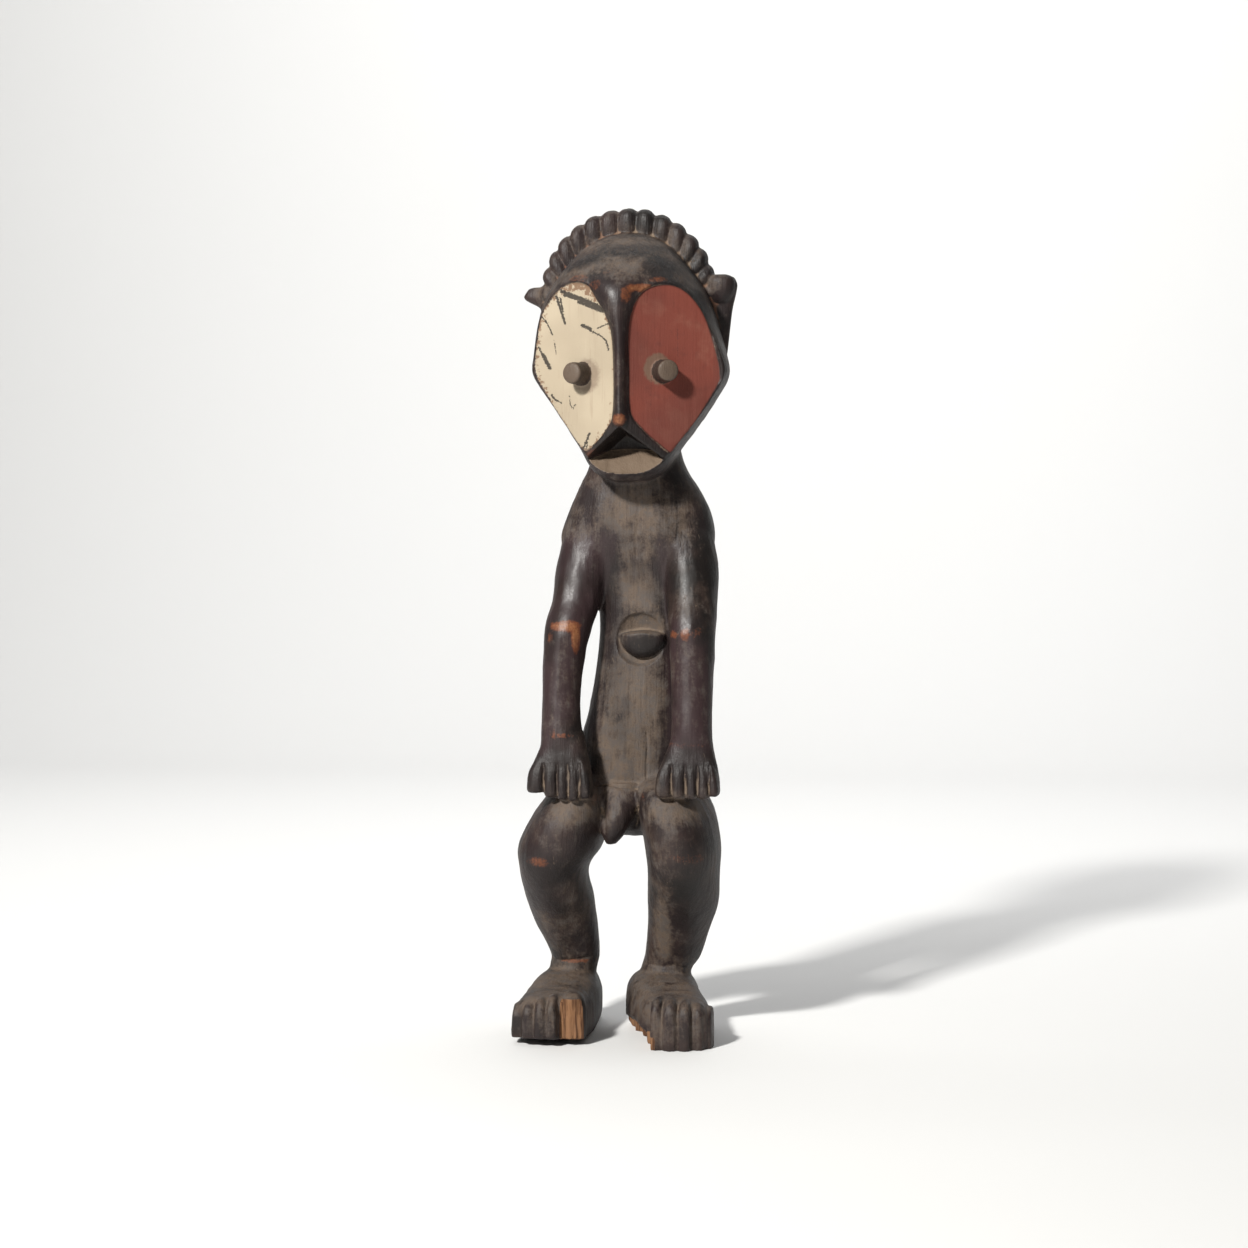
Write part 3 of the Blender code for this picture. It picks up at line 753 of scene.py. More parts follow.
LEFT_ARM = Arm(
    arm=((418, -14, 0, 14, 16, 18), (396, -24, -2, 22, 24, 25), (368, -30.5, -9, 22.3, 25, 25),
         (340, -36, -18, 19.3, 23, 22), (318, -41, -28, 18.1, 23, 20), (296, -43.6, -33, 16.2, 20, 17),
         (266, -44.7, -39, 14.7, 17.5, 15), (240, -43.5, -45, 15.6, 15, 14), (226, -42.5, -48, 17, 13, 14)),
    grooves=(-68.5, -55, -44.5, -36, -27, -18), tips=(191, 188, 186, 185, 187))
RIGHT_ARM = Arm(
    arm=((418, 34, 0, 14, 16, 18), (396, 46, -2, 21, 24, 25), (368, 52.5, -9, 21.8, 25, 25),
         (340, 55.3, -18, 19.8, 23, 22), (318, 56.7, -28, 18.2, 23, 20), (296, 57.2, -33, 17.3, 20, 17),
         (266, 57.6, -39, 16, 17.5, 15), (240, 58.2, -45, 15.6, 15, 14), (226, 58.6, -48, 17, 13, 14)),
    grooves=(31.5, 44.5, 55, 64.5, 73.5, 81), tips=(189, 188, 188, 188, 190))


# Relief and weathering

FIELD_NUMBERS = 8192
FIELD_KEYS = (73856093, 19349663, 83492791)


def lattice_noise(points: np.ndarray, size: Sequence[float], seed: int) -> np.ndarray:
    """Smooth random field: a random number at each lattice point, blended by smoothstep along each axis.

    Args:
        points: where to read it.
        size: the lattice spacing along x, y and z.
        seed: which field.

    Returns:
        A number from -1 to 1 for each point.
    """
    scaled = points / np.asarray(size, dtype=float)
    cell = np.floor(scaled).astype(np.int64)
    part = scaled - cell
    part = part * part * (3.0 - 2.0 * part)
    table = np.random.default_rng(seed).uniform(-1.0, 1.0, FIELD_NUMBERS)
    total = np.zeros(len(points))
    for corner in itertools.product((0, 1), repeat=3):
        a, b, c = (cell + np.array(corner)).T
        index = (a * FIELD_KEYS[0] ^ b * FIELD_KEYS[1] ^ c * FIELD_KEYS[2]) & (FIELD_NUMBERS - 1)
        weight = np.prod(np.where(np.array(corner, dtype=bool), part, 1.0 - part), axis=1)
        total += table[index] * weight
    return total


def ramp(values: np.ndarray, low: float, high: float) -> np.ndarray:
    """Smooth step from 0 at low to 1 at high; low may be the larger."""
    t = np.clip((values - low) / (high - low), 0.0, 1.0)
    return t * t * (3.0 - 2.0 * t)


def path_distance(flat: np.ndarray, path: Stations) -> np.ndarray:
    """Least distance from flat points to the segments of a path.

    Args:
        flat: points of two coordinates.
        path: the path's corners.

    Returns:
        One distance for each point.
    """
    corners = np.asarray(path, dtype=float)
    best = np.full(len(flat), np.inf)
    for start, end in zip(corners[:-1], corners[1:]):
        run = end - start
        share = np.clip(((flat - start) @ run) / (run @ run), 0.0, 1.0)
        best = np.minimum(best, np.linalg.norm(flat - start - share[:, None] * run, axis=1))
    return best


def inside_distance(flat: np.ndarray, outline: np.ndarray) -> np.ndarray:
    """Distance to a closed outline, above nought inside, where the crossings to the right are odd in number.

    Args:
        flat: points of two coordinates.
        outline: the outline's corners.

    Returns:
        One signed distance for each point.
    """
    ring = np.concatenate([outline, outline[:1]])
    crossings = np.zeros(len(flat), dtype=int)
    for start, end in zip(ring[:-1], ring[1:]):
        spans = (start[1] > flat[:, 1]) != (end[1] > flat[:, 1])
        rise = end[1] - start[1]
        at = start[0] + (flat[:, 1] - start[1]) * (end[0] - start[0]) / (rise if rise else 1.0)
        crossings += spans & (at > flat[:, 0])
    return np.where(crossings % 2 == 1, 1.0, -1.0) * path_distance(flat, ring)


def spread(values: np.ndarray, edges: np.ndarray, turns: int) -> np.ndarray:
    """Average each vertex with its neighbours, several times over.

    Args:
        values: one row for each vertex.
        edges: pairs of vertex numbers.
        turns: how many times.

    Returns:
        The averaged values.
    """
    a, b = edges.T
    size = len(values)
    count = np.bincount(edges.ravel(), minlength=size).clip(1)
    columns = [column.copy() for column in values.reshape(size, -1).T]
    for _ in range(turns):
        around = [np.bincount(a, column[b], size) + np.bincount(b, column[a], size) for column in columns]
        columns = [0.5 * column + 0.5 * beside / count for column, beside in zip(columns, around)]
    return np.stack(columns, axis=1).reshape(values.shape)


@dataclass(frozen=True)
class Groove:
    """A thin line cut or split in the wood, seen from the front, as a path of (x, z)."""

    path: Stations
    width: float
    depth: float
    lip: float = 0.0


@dataclass(frozen=True)
class Relief:
    """Fine carving and wear laid on the skin: tool marks, grain, splits, and fibres on the broken faces."""

    grooves: Sequence[Groove] = (
        Groove(((14.5, 416), (13.8, 400), (12.5, 384), (13.2, 372)), 0.5, 0.9),
        Groove(((21, 236), (21.5, 215), (20, 196), (16, 180), (13, 172)), 0.6, 1.1),
        Groove(((-18, 195.5), (-8, 195), (2, 194), (14, 192.5)), 0.8, 1.3, 0.5),
        Groove(((-62, 55), (-52, 53.5), (-38, 54.5), (-27, 57)), 1.2, 0.9),
        Groove(((14, 53), (28, 51), (42, 52), (53, 46)), 1.2, 0.8),
        Groove(((-16.5, 196), (-13, 178), (-9.5, 160)), 1.3, 1.2),
        Groove(((17, 192), (14, 176), (11, 162)), 1.4, 1.4),
        Groove(((2.3, 262), (2.3, 205)), 7.0, -1.6), Groove(((-15, 418), (-20, 385)), 6.0, -1.2),
        Groove(((30, 412), (41, 382)), 6.0, -1.5), Groove(((13, 405), (13, 345)), 12.0, 1.2),
        Groove(((20, 262), (26, 200)), 5.0, 0.8))
    tool_mark: float = 0.34
    grain: float = 0.14
    fibre: float = 0.8

    def raw(self, points: np.ndarray, normals: np.ndarray) -> np.ndarray:
        """Where the wood is broken: the split big toe's face and the right foot's lost inner edge.

        Args:
            points: vertices.
            normals: their normals.

        Returns:
            0 for sound wood to 1 for broken wood.
        """
        x, y, z = points.T
        toe = ramp(x, -39.5, -38.3) * ramp(x, -20.0, -21.5) * ramp(y, -76.0, -78.0) * ramp(z, 37.0, 34.5)
        toe *= ramp(-normals[:, 1], 0.3, 0.6)
        line = np.array(Losses().edge[:-2], dtype=float)
        edge = ramp(path_distance(points[:, :2], line), 5.0, 3.0) * ramp(z, 12.0, 7.5)
        edge *= ramp(-normals[:, 0] - 0.6 * normals[:, 1], 0.2, 0.6)
        return np.clip(toe + edge, 0.0, 1.0)

    def lift(self, points: np.ndarray, normals: np.ndarray, smooth: np.ndarray) -> np.ndarray:
        """How far each vertex moves along its normal.

        The tool marks are the folded value of a slow field, the grain a field drawn out along z, and each
        groove dips by depth * exp(-(distance / width)^2), with a lip beside it where it has one.

        Args:
            points: vertices.
            normals: their normals.
            smooth: 1 where the skin is painted or polished and takes no tool marks.

        Returns:
            One distance for each vertex.
        """
        rough = 1.0 - smooth
        facets = 1.0 - 2.0 * np.abs(lattice_noise(points, (13, 13, 19), 4))
        height = self.tool_mark * rough * facets
        height += self.grain * (0.3 + 0.7 * rough) * lattice_noise(points, (2.1, 2.1, 34), 11)
        height += 0.6 * self.grain * rough * lattice_noise(points, (4.3, 4.3, 7), 12)
        front = ramp(-normals[:, 1], 0.1, 0.4)
        wander = lattice_noise(points, (5, 5, 5), 21) * 0.7
        flat = points[:, [0, 2]] + wander[:, None] * np.array([1.0, 0.5])
        fingers = [Groove(((x, 213.5), (x + 0.3, 200), (x, 186)), 0.85, 1.3) for arm in (LEFT_ARM, RIGHT_ARM)
                   for x in arm.grooves[1:-1]]
        for groove in [*self.grooves, *fingers]:
            near = path_distance(flat, groove.path)
            height -= groove.depth * front * np.exp(-(near / groove.width) ** 2)
            height += groove.lip * front * np.exp(-((near - 2.6) / 1.6) ** 2)
        raw = self.raw(points, normals)
        fibres = lattice_noise(points, (1.5, 1.5, 16), 31) + 0.6 * lattice_noise(points, (3.4, 3.4, 9), 32)
        height = height * (1.0 - raw) + raw * self.fibre * (fibres - 0.2)
        return height


@dataclass(frozen=True)
class Figure:
    """The whole figure as one carved piece, with its skin's face sizes and its limit of triangles."""

    trunk: Trunk = Trunk()
    navel: Navel = Navel()
    legs: tuple[Leg, Leg] = (LEFT_LEG, RIGHT_LEG)
    arms: tuple[Arm, Arm] = (LEFT_ARM, RIGHT_ARM)
    head: Head = Head()
    hair: Hair = Hair()
    face: Face = Face()
    losses: Losses = Losses()
    relief: Relief = Relief()
    soft_cell: float = 1.5
    cell: float = 1.0
    brow_turns: int = 40
    brow_middle: float = 3.0
    brow_sides: Fade = (46.0, 34.0)
    brow_foot: Fade = (560.0, 580.0)
    brow_top: Fade = (618.0, 604.0)
    brow_front: float = -30.0
    beside_bed: Fade = (-0.8, -3.5)
    plane_depth: Fade = (5.0, 3.0)
    face_foot: Fade = (440.0, 450.0)
    face_top: Fade = (600.0, 588.0)
    face_front: float = -20.0
    most_triangles: int = 195000

    def carve(self) -> Block:
        """Rough out the soft forms, add the crisp ones, cut, set the pegs, and keep one even skin."""
        limbs = [*self.legs, *self.arms]
        soft = self.trunk.soft() + self.head.soft() + [shell for limb in limbs for shell in limb.soft()]
        block = Block(Shell.joined(soft), "carved_wood_figure")
        block.fuse(self.soft_cell)
        block.soften(9)
        crisp = self.trunk.crisp() + self.head.crisp() + self.hair.crisp()
        crisp += [shell for limb in limbs for shell in limb.crisp()]
        block.absorb(crisp)
        block.fuse(self.cell)
        block.soften(2)
        log.info("roughed out with %d vertices", len(block.body.data.vertices))
        for side in Side:
            block.combine(self.face.plane_cut(side), Cut.AWAY)
        for shell in [self.navel.cut(), *self.losses.cuts()]:
            block.combine(shell, Cut.AWAY)
        for side in Side:
            block.combine(self.face.bed_cut(side), Cut.AWAY)
        for side, away_distance, height in self.face.pegs:
            block.combine(self.face.peg(side, away_distance, height), Cut.ADD)
        block.combine(self.navel.form(), Cut.ADD)
        block.combine(self.face.ridge_form(), Cut.ADD)
        block.combine(self.face.mouth_cut(), Cut.AWAY)
        block.fuse(self.cell)
        block.soften(1)
        log.info("carved with %d vertices", len(block.body.data.vertices))
        return block

    def weather(self, block: Block) -> None:
        """Blend the ridge into the forehead, then lay the fine relief on the skin.

        Args:
            block: the carved piece.
        """
        points, edges = block.points(), block.edges()
        eased = spread(points, edges, self.brow_turns)
        block.place(points + (eased - points) * self.brow(points)[:, None])
        points, normals = block.points(), block.normals()
        smooth = self.smooth_parts(points)
        block.place(points + normals * self.relief.lift(points, normals, smooth)[:, None])

    def brow(self, points: np.ndarray) -> np.ndarray:
        """Where the ridge runs out over the forehead, short of the painted beds."""
        x, y, z = points.T
        blend = ramp(z, *self.brow_foot) * ramp(z, *self.brow_top)
        blend *= ramp(np.abs(x - self.brow_middle), *self.brow_sides) * (y < self.brow_front)
        for side in Side:
            flat, _ = self.face.flattened(side, points)
            beyond = ramp(inside_distance(flat, self.face.bed(side)), *self.beside_bed)
            blend = np.where(x * side.value > self.face.ridge_x * side.value, blend * beyond, blend)
        return blend

    def smooth_parts(self, points: np.ndarray) -> np.ndarray:
        """Where no tool marks show: the face planes, the ridge and the pegs."""
        x, y, z = points.T
        fall = math.tan(self.face.fall)
        depth = y - self.face.ridge_y - np.abs(x - self.face.ridge_x) * fall
        tall = ramp(z, *self.face_foot) * ramp(z, *self.face_top)
        return ramp(depth, *self.plane_depth) * tall * (y < self.face_front)


@dataclass(frozen=True)
class Dab:
    """A soft patch seen from the front: its middle, its half sizes in x and z, and how strong it is."""

    x: float
    z: float
    wide: float
    tall: float
    strength: float = 1.0


def dabs(points: np.ndarray, patches: Sequence[Dab]) -> np.ndarray:
    """Greatest of several soft patches: each falls from its strength in the middle to nought past its edge.

    Args:
        points: vertices.
        patches: the patches.

    Returns:
        One value for each vertex.
    """
    wobble = 0.22 * lattice_noise(points, (6, 6, 9), 41)
    best = np.zeros(len(points))
    for patch in patches:
        away = np.hypot((points[:, 0] - patch.x) / patch.wide, (points[:, 2] - patch.z) / patch.tall)
        best = np.maximum(best, patch.strength * ramp(away + wobble, 1.35, 0.45))
    return best


@dataclass(frozen=True)
class Weathering:
    """Where the figure is dusty, worn, polished, painted, dark or in painted shade, as one number for each
    vertex.
    """

    worn: Sequence[Dab] = (
        Dab(-41.6, 319.5, 14, 5), Dab(-32, 309, 3.5, 11), Dab(-52, 311, 4, 8, 0.6),
        Dab(44, 313, 4, 4.5, 0.9), Dab(54, 314, 5, 6, 0.8), Dab(63, 314, 6, 8, 0.5),
        Dab(-60, 137.5, 12, 5, 0.8), Dab(58, 142, 16, 6, 0.45), Dab(7, 478, 7, 6), Dab(22, 579, 11, 4.5),
        Dab(34, 586, 9, 3.5, 0.8), Dab(12, 573, 5, 8, 0.7), Dab(-14, 582, 9, 5, 0.7),
        Dab(-26, 588, 14, 4, 0.55), Dab(-8, 590, 14, 5, 0.4), Dab(-42, 235.5, 13, 2.6, 0.7),
        Dab(57, 229, 16, 3, 0.6), Dab(-17, 184, 4, 6, 0.5), Dab(20, 186, 4, 7, 0.45),
        Dab(-39, 53.5, 20, 2, 0.7), Dab(32, 52, 18, 2, 0.4), Dab(-14, 452, 9, 5, 0.45),
        Dab(-8, 596, 18, 6, 0.3))
    dusty: Sequence[Dab] = (
        Dab(13, 400, 34, 34, 0.75), Dab(14, 345, 20, 32, 0.8), Dab(10, 265, 28, 75, 0.95),
        Dab(6, 215, 32, 30, 1.0), Dab(17, 318, 21, 16, 1.2), Dab(-30, 178, 22, 12, 0.85),
        Dab(45, 178, 24, 13, 0.85), Dab(-44, 34, 36, 26, 0.6), Dab(38, 34, 42, 26, 0.6),
        Dab(33, 80, 8, 32, 0.9), Dab(-60, 92, 5, 18, 0.4), Dab(3, 606, 62, 20, 0.35),
        Dab(-30, 598, 26, 12, 0.4), Dab(73, 588, 9, 9, 0.45), Dab(-66, 584, 10, 6, 0.6),
        Dab(-6, 176, 10, 16, 0.5), Dab(-45, 395, 20, 22, 0.45), Dab(40, 395, 18, 26, 0.6),
        Dab(-42, 194, 26, 7, 0.5), Dab(57, 194, 26, 7, 0.5), Dab(45, 110, 20, 40, 0.22),
        Dab(-50, 110, 20, 40, 0.15))
    polished: Sequence[Dab] = (
        Dab(4.4, 579, 14, 12), Dab(7, 520, 7, 48), Dab(-40, 350, 18, 34, 0.9), Dab(-44, 275, 14, 40, 0.8),
        Dab(53, 345, 16, 34, 0.9), Dab(57, 270, 15, 40, 0.8), Dab(2, 235, 7, 36, 0.7),
        Dab(-58, 148, 15, 16, 0.7), Dab(54, 150, 15, 16, 0.8), Dab(-6, 170, 6, 10, 0.8),
        Dab(17, 308, 14, 9, 0.9), Dab(-16, 402, 8, 22, 0.5))
    # Dark patches, partly painted shade: the tall strip down the left of the torso is the left arm's painted
    # shadow, the strip beside the right arm is painted shade in its crease, and the navel button's underside
    # is dark patina with painted shade; the others darken the hands, fingers, shins, left upper arm, chest,
    # belly, hair and inner left knee.
    soot_and_shade: Sequence[Dab] = (
        Dab(-42, 212, 26, 14, 0.85), Dab(57, 214, 26, 16, 0.85), Dab(-42, 199, 27, 8, 0.4),
        Dab(57, 200, 27, 8, 0.4), Dab(16.5, 303, 17, 11, 1.0), Dab(58, 108, 16, 46, 0.5),
        Dab(-56, 118, 18, 26, 0.5), Dab(-40, 355, 18, 30, 0.4), Dab(12, 362, 16, 10, 0.35),
        Dab(-34, 604, 22, 9, 0.5), Dab(12, 611, 30, 6, 0.45), Dab(36, 598, 16, 9, 0.55),
        Dab(-8, 330, 10, 70, 0.45), Dab(0, 260, 8, 40, 0.3), Dab(34, 360, 12, 30, 0.4),
        Dab(-20, 145, 8, 20, 0.4))
    arm_lines: Sequence[Stations] = (
        ((-24, 390), (-36, 340), (-43, 296), (-44.5, 266), (-43.5, 236)),
        ((50, 385), (55, 340), (57, 296), (57.6, 266), (58, 236)))
    mouth_edges: Stations = ((-24, 446.8), (6.5, 473), (43.5, 445))
    rim_width: Fade = (6.0, 3.5)
    rim_foot: Fade = (443.0, 447.0)
    rim_depth: Fade = (-48.0, -54.0)
    cavity_middle: float = 9.0
    cavity_sides: Fade = (34.0, 28.0)
    cavity_foot: Fade = (447.0, 451.0)
    cavity_top: Fade = (474.0, 471.0)
    cavity_depth: Fade = (-64.0, -56.0)
    cavity_turn: Fade = (0.6, 0.2)
    lip_height: float = 447.0
    lip_reach: Fade = (13.0, 10.0)
    lip_depth: Fade = (-42.0, -48.0)
    lip_turn: Fade = (0.25, 0.5)
    arm_reach: Fade = (25.0, 18.0)
    shoulder: Fade = (400.0, 375.0)
    hair_middle: float = 578.0
    hair_reach: Fade = (44.0, 50.0)
    hair_foot: Fade = (552.0, 562.0)
    facing: Fade = (-0.15, 0.35)
    polish_facing: Fade = (-0.4, 0.2)
    upward: Fade = (0.3, 0.9)
    hollow: Fade = (0.10, 0.75)
    ridge: Fade = (0.10, 0.55)
    film: float = 0.16
    off_bed: float = -9.0
    off_peg: float = 60.0

    def bed_depth(self, face: Face, side: Side, points: np.ndarray, normals: np.ndarray) -> np.ndarray:
        """How far in from the edge of a painted bed each vertex lies.

        Args:
            face: the face.
            side: which bed.
            points: vertices.
            normals: their normals.

        Returns:
            The distance, below nought past the edge, and off_bed for a vertex that isn't on the bed's floor.
        """
        flat, ahead = face.flattened(side, points)
        on_floor = (np.abs(ahead + face.recess) < 1.3) & (normals @ face.axes(side)[1] > 0.6)
        own_side = points[:, 0] * side.value > face.ridge_x * side.value - 2.0
        return np.where(on_floor & own_side, inside_distance(flat, face.bed(side)), self.off_bed)

    def peg_reach(self, face: Face, points: np.ndarray) -> np.ndarray:
        """How far along its peg each vertex lies, and off_peg for one that isn't on a peg."""
        reach = np.full(len(points), self.off_peg)
        for side, away_distance, height in face.pegs:
            outward = face.axes(side)[1]
            off = points - face.on_plane(side, np.array([[away_distance, height]]), -face.recess)[0]
            along = off @ outward
            radial = np.linalg.norm(off - along[:, None] * outward, axis=1)
            standing = (along > 0.7) & (along < 30.0) & (radial < face.peg_radius + 2.0)
            reach = np.where(standing, along, reach)
        return reach

    def mouth(self, points: np.ndarray, normals: np.ndarray) -> tuple[np.ndarray, np.ndarray]:
        """The pale lip shelf, and the painted shade on the mouth's rim and in its cavity.

        Args:
            points: vertices.
            normals: their normals.

        Returns:
            The lip mask and the mask of painted shade.
        """
        x, y, z = points.T
        # Painted shade: a dark band along the mouth's upper edges and a dark cavity inside it.
        rim = ramp(path_distance(points[:, [0, 2]], self.mouth_edges), *self.rim_width)
        rim *= ramp(z, *self.rim_foot) * ramp(y, *self.rim_depth)
        cavity = ramp(y, *self.cavity_depth) * ramp(np.abs(x - self.cavity_middle), *self.cavity_sides)
        cavity *= ramp(z, *self.cavity_foot) * ramp(z, *self.cavity_top)
        cavity *= ramp(normals[:, 1], *self.cavity_turn) * (y < -40.0)
        lip = ramp(np.abs(z - self.lip_height), *self.lip_reach)
        lip *= ramp(normals[:, 2], *self.lip_turn) * ramp(y, *self.lip_depth)
        return lip, rim * (1.0 - lip) + cavity

    def on_arms(self, points: np.ndarray) -> np.ndarray:
        """1 on the arms below the shoulders, 0 away from them."""
        near = [ramp(path_distance(points[:, [0, 2]], line), *self.arm_reach) for line in self.arm_lines]
        return np.maximum(*near) * ramp(points[:, 2], *self.shoulder)

    def in_hair(self, hair: Hair, points: np.ndarray) -> np.ndarray:
        """1 on the crest of hair, 0 away from it."""
        x, y, z = points.T
        reach = ramp(np.hypot(x - hair.middle, z - self.hair_middle), *self.hair_reach)
        return reach * ramp(z, *self.hair_foot) * (y > -16.0)

    def note_all(self, block: Block, figure: Figure) -> None:
        """Work out every mask at the vertices and store it on the piece.

        Args:
            block: the finished piece.
            figure: the figure, for its forms.
        """
        points, normals, edges = block.points(), block.normals(), block.edges()
        rise = np.einsum("ij,ij->i", spread(points, edges, 10) - points, normals)
        rise = spread(rise, edges, 2)
        hollow, ridge = ramp(rise, *self.hollow), ramp(-rise, *self.ridge)
        front, upward = ramp(-normals[:, 1], *self.facing), ramp(normals[:, 2], *self.upward)
        lip, dark = self.mouth(points, normals)
        arms, raw = self.on_arms(points), figure.relief.raw(points, normals)
        dust = np.clip(self.film + dabs(points, self.dusty) * front, 0.0, 1.2) * (1.0 - 0.62 * arms)
        dust += 0.25 * upward * (1.0 - 0.6 * arms) + 0.5 * hollow - 0.25 * ridge
        # Dark patches with painted shade among them, and the mouth's painted shade, less in the hollows.
        soot_and_shade = np.clip(dabs(points, self.soot_and_shade) * front * (1.0 - 0.8 * hollow) + dark, 0.0, 1.0)
        masks = {
            "dust": dust, "worn": dabs(points, self.worn) * front,
            "polish": dabs(points, self.polished) * ramp(-normals[:, 1], *self.polish_facing) + 0.35 * arms,
            "soot_and_shade": soot_and_shade * (1.0 - raw), "raw": raw, "hollow": hollow, "ridge": ridge,
            "cream": self.bed_depth(figure.face, Side.LEFT, points, normals),
            "red": self.bed_depth(figure.face, Side.RIGHT, points, normals),
            "peg": self.peg_reach(figure.face, points), "lip": lip,
            "hair": self.in_hair(figure.hair, points), "arms": arms}
        for name, values in masks.items():
            block.note(name, values)


# Finish

Colour = tuple[float, float, float]
Socket = bpy.types.NodeSocket
Outputs = bpy.types.bpy_prop_collection


@dataclass(frozen=True)
class WoodTones:
    """Colours of the old wood, from near black, also used for painted shade, to bare fibres."""

    deep: Colour = (0.0085, 0.0062, 0.0055)
    heart: Colour = (0.030, 0.0185, 0.0145)
    plum: Colour = (0.031, 0.0175, 0.0185)
    dust: Colour = (0.118, 0.085, 0.062)
    ash: Colour = (0.080, 0.068, 0.062)
    pale_dust: Colour = (0.175, 0.126, 0.087)
    rust: Colour = (0.150, 0.046, 0.018)
    amber: Colour = (0.25, 0.105, 0.044)
    fibre: Colour = (0.215, 0.108, 0.052)
    fibre_dark: Colour = (0.070, 0.030, 0.014)


@dataclass(frozen=True)
class PaintTones:
    """Colours of the two painted face planes and their stains."""

    cream: Colour = (0.39, 0.325, 0.236)
    cream_grey: Colour = (0.30, 0.245, 0.175)
    stain: Colour = (0.125, 0.055, 0.024)
    red: Colour = (0.158, 0.036, 0.023)
    red_dark: Colour = (0.095, 0.025, 0.018)
    red_pale: Colour = (0.205, 0.072, 0.048)
    collar: Colour = (0.13, 0.082, 0.055)


class Nodes:
    """Short ways to add shader nodes to one tree and link them."""

    def __init__(self, tree: bpy.types.NodeTree) -> None:
        """Work in one tree."""
        self.tree = tree

    def add(self, kind: str, **settings: object) -> bpy.types.Node:
        """Add a node and set its properties."""
        node = self.tree.nodes.new(kind)
        for name, value in settings.items():
            setattr(node, name, value)
        return node

    def put(self, socket: Socket, value: object) -> None:
        """Link a socket or set a plain value on an input."""
        if isinstance(value, Socket):
            self.tree.links.new(value, socket)
        elif isinstance(value, tuple) and len(value) == 3 and socket.type == "RGBA":
            socket.default_value = (*value, 1.0)
        else:
            socket.default_value = value

    def math(self, operation: str, first: object, second: object, clamp: bool = False) -> Socket:
        """One operation on two numbers."""
        node = self.add("ShaderNodeMath", operation=operation, use_clamp=clamp)
        self.put(node.inputs[0], first)
        self.put(node.inputs[1], second)
        return node.outputs[0]

    def plus(self, first: object, second: object, clamp: bool = False) -> Socket:
        """Sum of two numbers."""
        return self.math("ADD", first, second, clamp)

    def minus(self, first: object, second: object, clamp: bool = False) -> Socket:
        """First number less the second."""
        return self.math("SUBTRACT", first, second, clamp)

    def times(self, first: object, second: object, clamp: bool = False) -> Socket:
        """Product of two numbers."""
        return self.math("MULTIPLY", first, second, clamp)

    def stir(self, value: object, noise: object, weight: float) -> Socket:
        """A number moved up and down by a noise: value + (noise - 0.5) * weight."""
        return self.plus(value, self.times(self.minus(noise, 0.5), weight))

    def vector(self, operation: str, first: object, second: object, output: str = "Vector") -> Socket:
        """One operation on two vectors."""
        node = self.add("ShaderNodeVectorMath", operation=operation)
        self.put(node.inputs[0], first)
        self.put(node.inputs[1], second)
        return node.outputs[output]

    def scaled(self, vector: object, share: object) -> Socket:
        """A vector times a number."""
        node = self.add("ShaderNodeVectorMath", operation="SCALE")
        self.put(node.inputs[0], vector)
        self.put(node.inputs["Scale"], share)
        return node.outputs["Vector"]

    def band(self, value: object, low: float, high: float, top: float = 1.0) -> Socket:
        """Smooth step of a number, from 0 at low to top at high."""
        node = self.add("ShaderNodeMapRange", interpolation_type="SMOOTHSTEP")
        self.put(node.inputs["Value"], value)
        for name, number in (("From Min", low), ("From Max", high), ("To Min", 0.0), ("To Max", top)):
            node.inputs[name].default_value = number
        return node.outputs["Result"]

    def mix(self, share: object, first: object, second: object) -> Socket:
        """Blend two colours."""
        node = self.add("ShaderNodeMix", data_type="RGBA", blend_type="MIX", clamp_factor=True)
        self.put(node.inputs["Factor"], share)
        self.put(node.inputs[6], first)
        self.put(node.inputs[7], second)
        return node.outputs[2]

    def noise(self, vector: object, scale: float, detail: float = 3.0, rough: float = 0.55) -> Socket:
        """Cloudy noise at some places."""
        node = self.add("ShaderNodeTexNoise")
        self.put(node.inputs["Vector"], vector)
        node.inputs["Scale"].default_value = scale
        node.inputs["Detail"].default_value = detail
        node.inputs["Roughness"].default_value = rough
        return node.outputs["Fac"]

    def mask(self, name: str) -> Socket:
        """One of the piece's own numbers."""
        node = self.add("ShaderNodeAttribute", attribute_name=name)
        return node.outputs["Fac"]


class Group:
    """A shader node group with named inputs and outputs, built once."""

    def __init__(self, name: str, inputs: dict[str, str], outputs: dict[str, str]) -> None:
        """Make the group's sockets.

        Args:
            name: the group's name.
            inputs: socket kinds by name.
            outputs: socket kinds by name.
        """
        self.tree = bpy.data.node_groups.new(name, "ShaderNodeTree")
        for title, kind in inputs.items():
            self.tree.interface.new_socket(title, in_out="INPUT", socket_type=kind)
        for title, kind in outputs.items():
            self.tree.interface.new_socket(title, in_out="OUTPUT", socket_type=kind)
        self.nodes = Nodes(self.tree)
        self.source = self.nodes.add("NodeGroupInput").outputs
        self.result = self.nodes.add("NodeGroupOutput").inputs

    def use(self, nodes: Nodes, **inputs: object) -> Outputs:
        """Place the group in a tree.

        Args:
            nodes: the tree to place it in.
            inputs: what feeds its inputs, by name.

        Returns:
            Its outputs.
        """
        node = nodes.add("ShaderNodeGroup", node_tree=self.tree)
        for title, value in inputs.items():
            nodes.put(node.inputs[title], value)
        return node.outputs


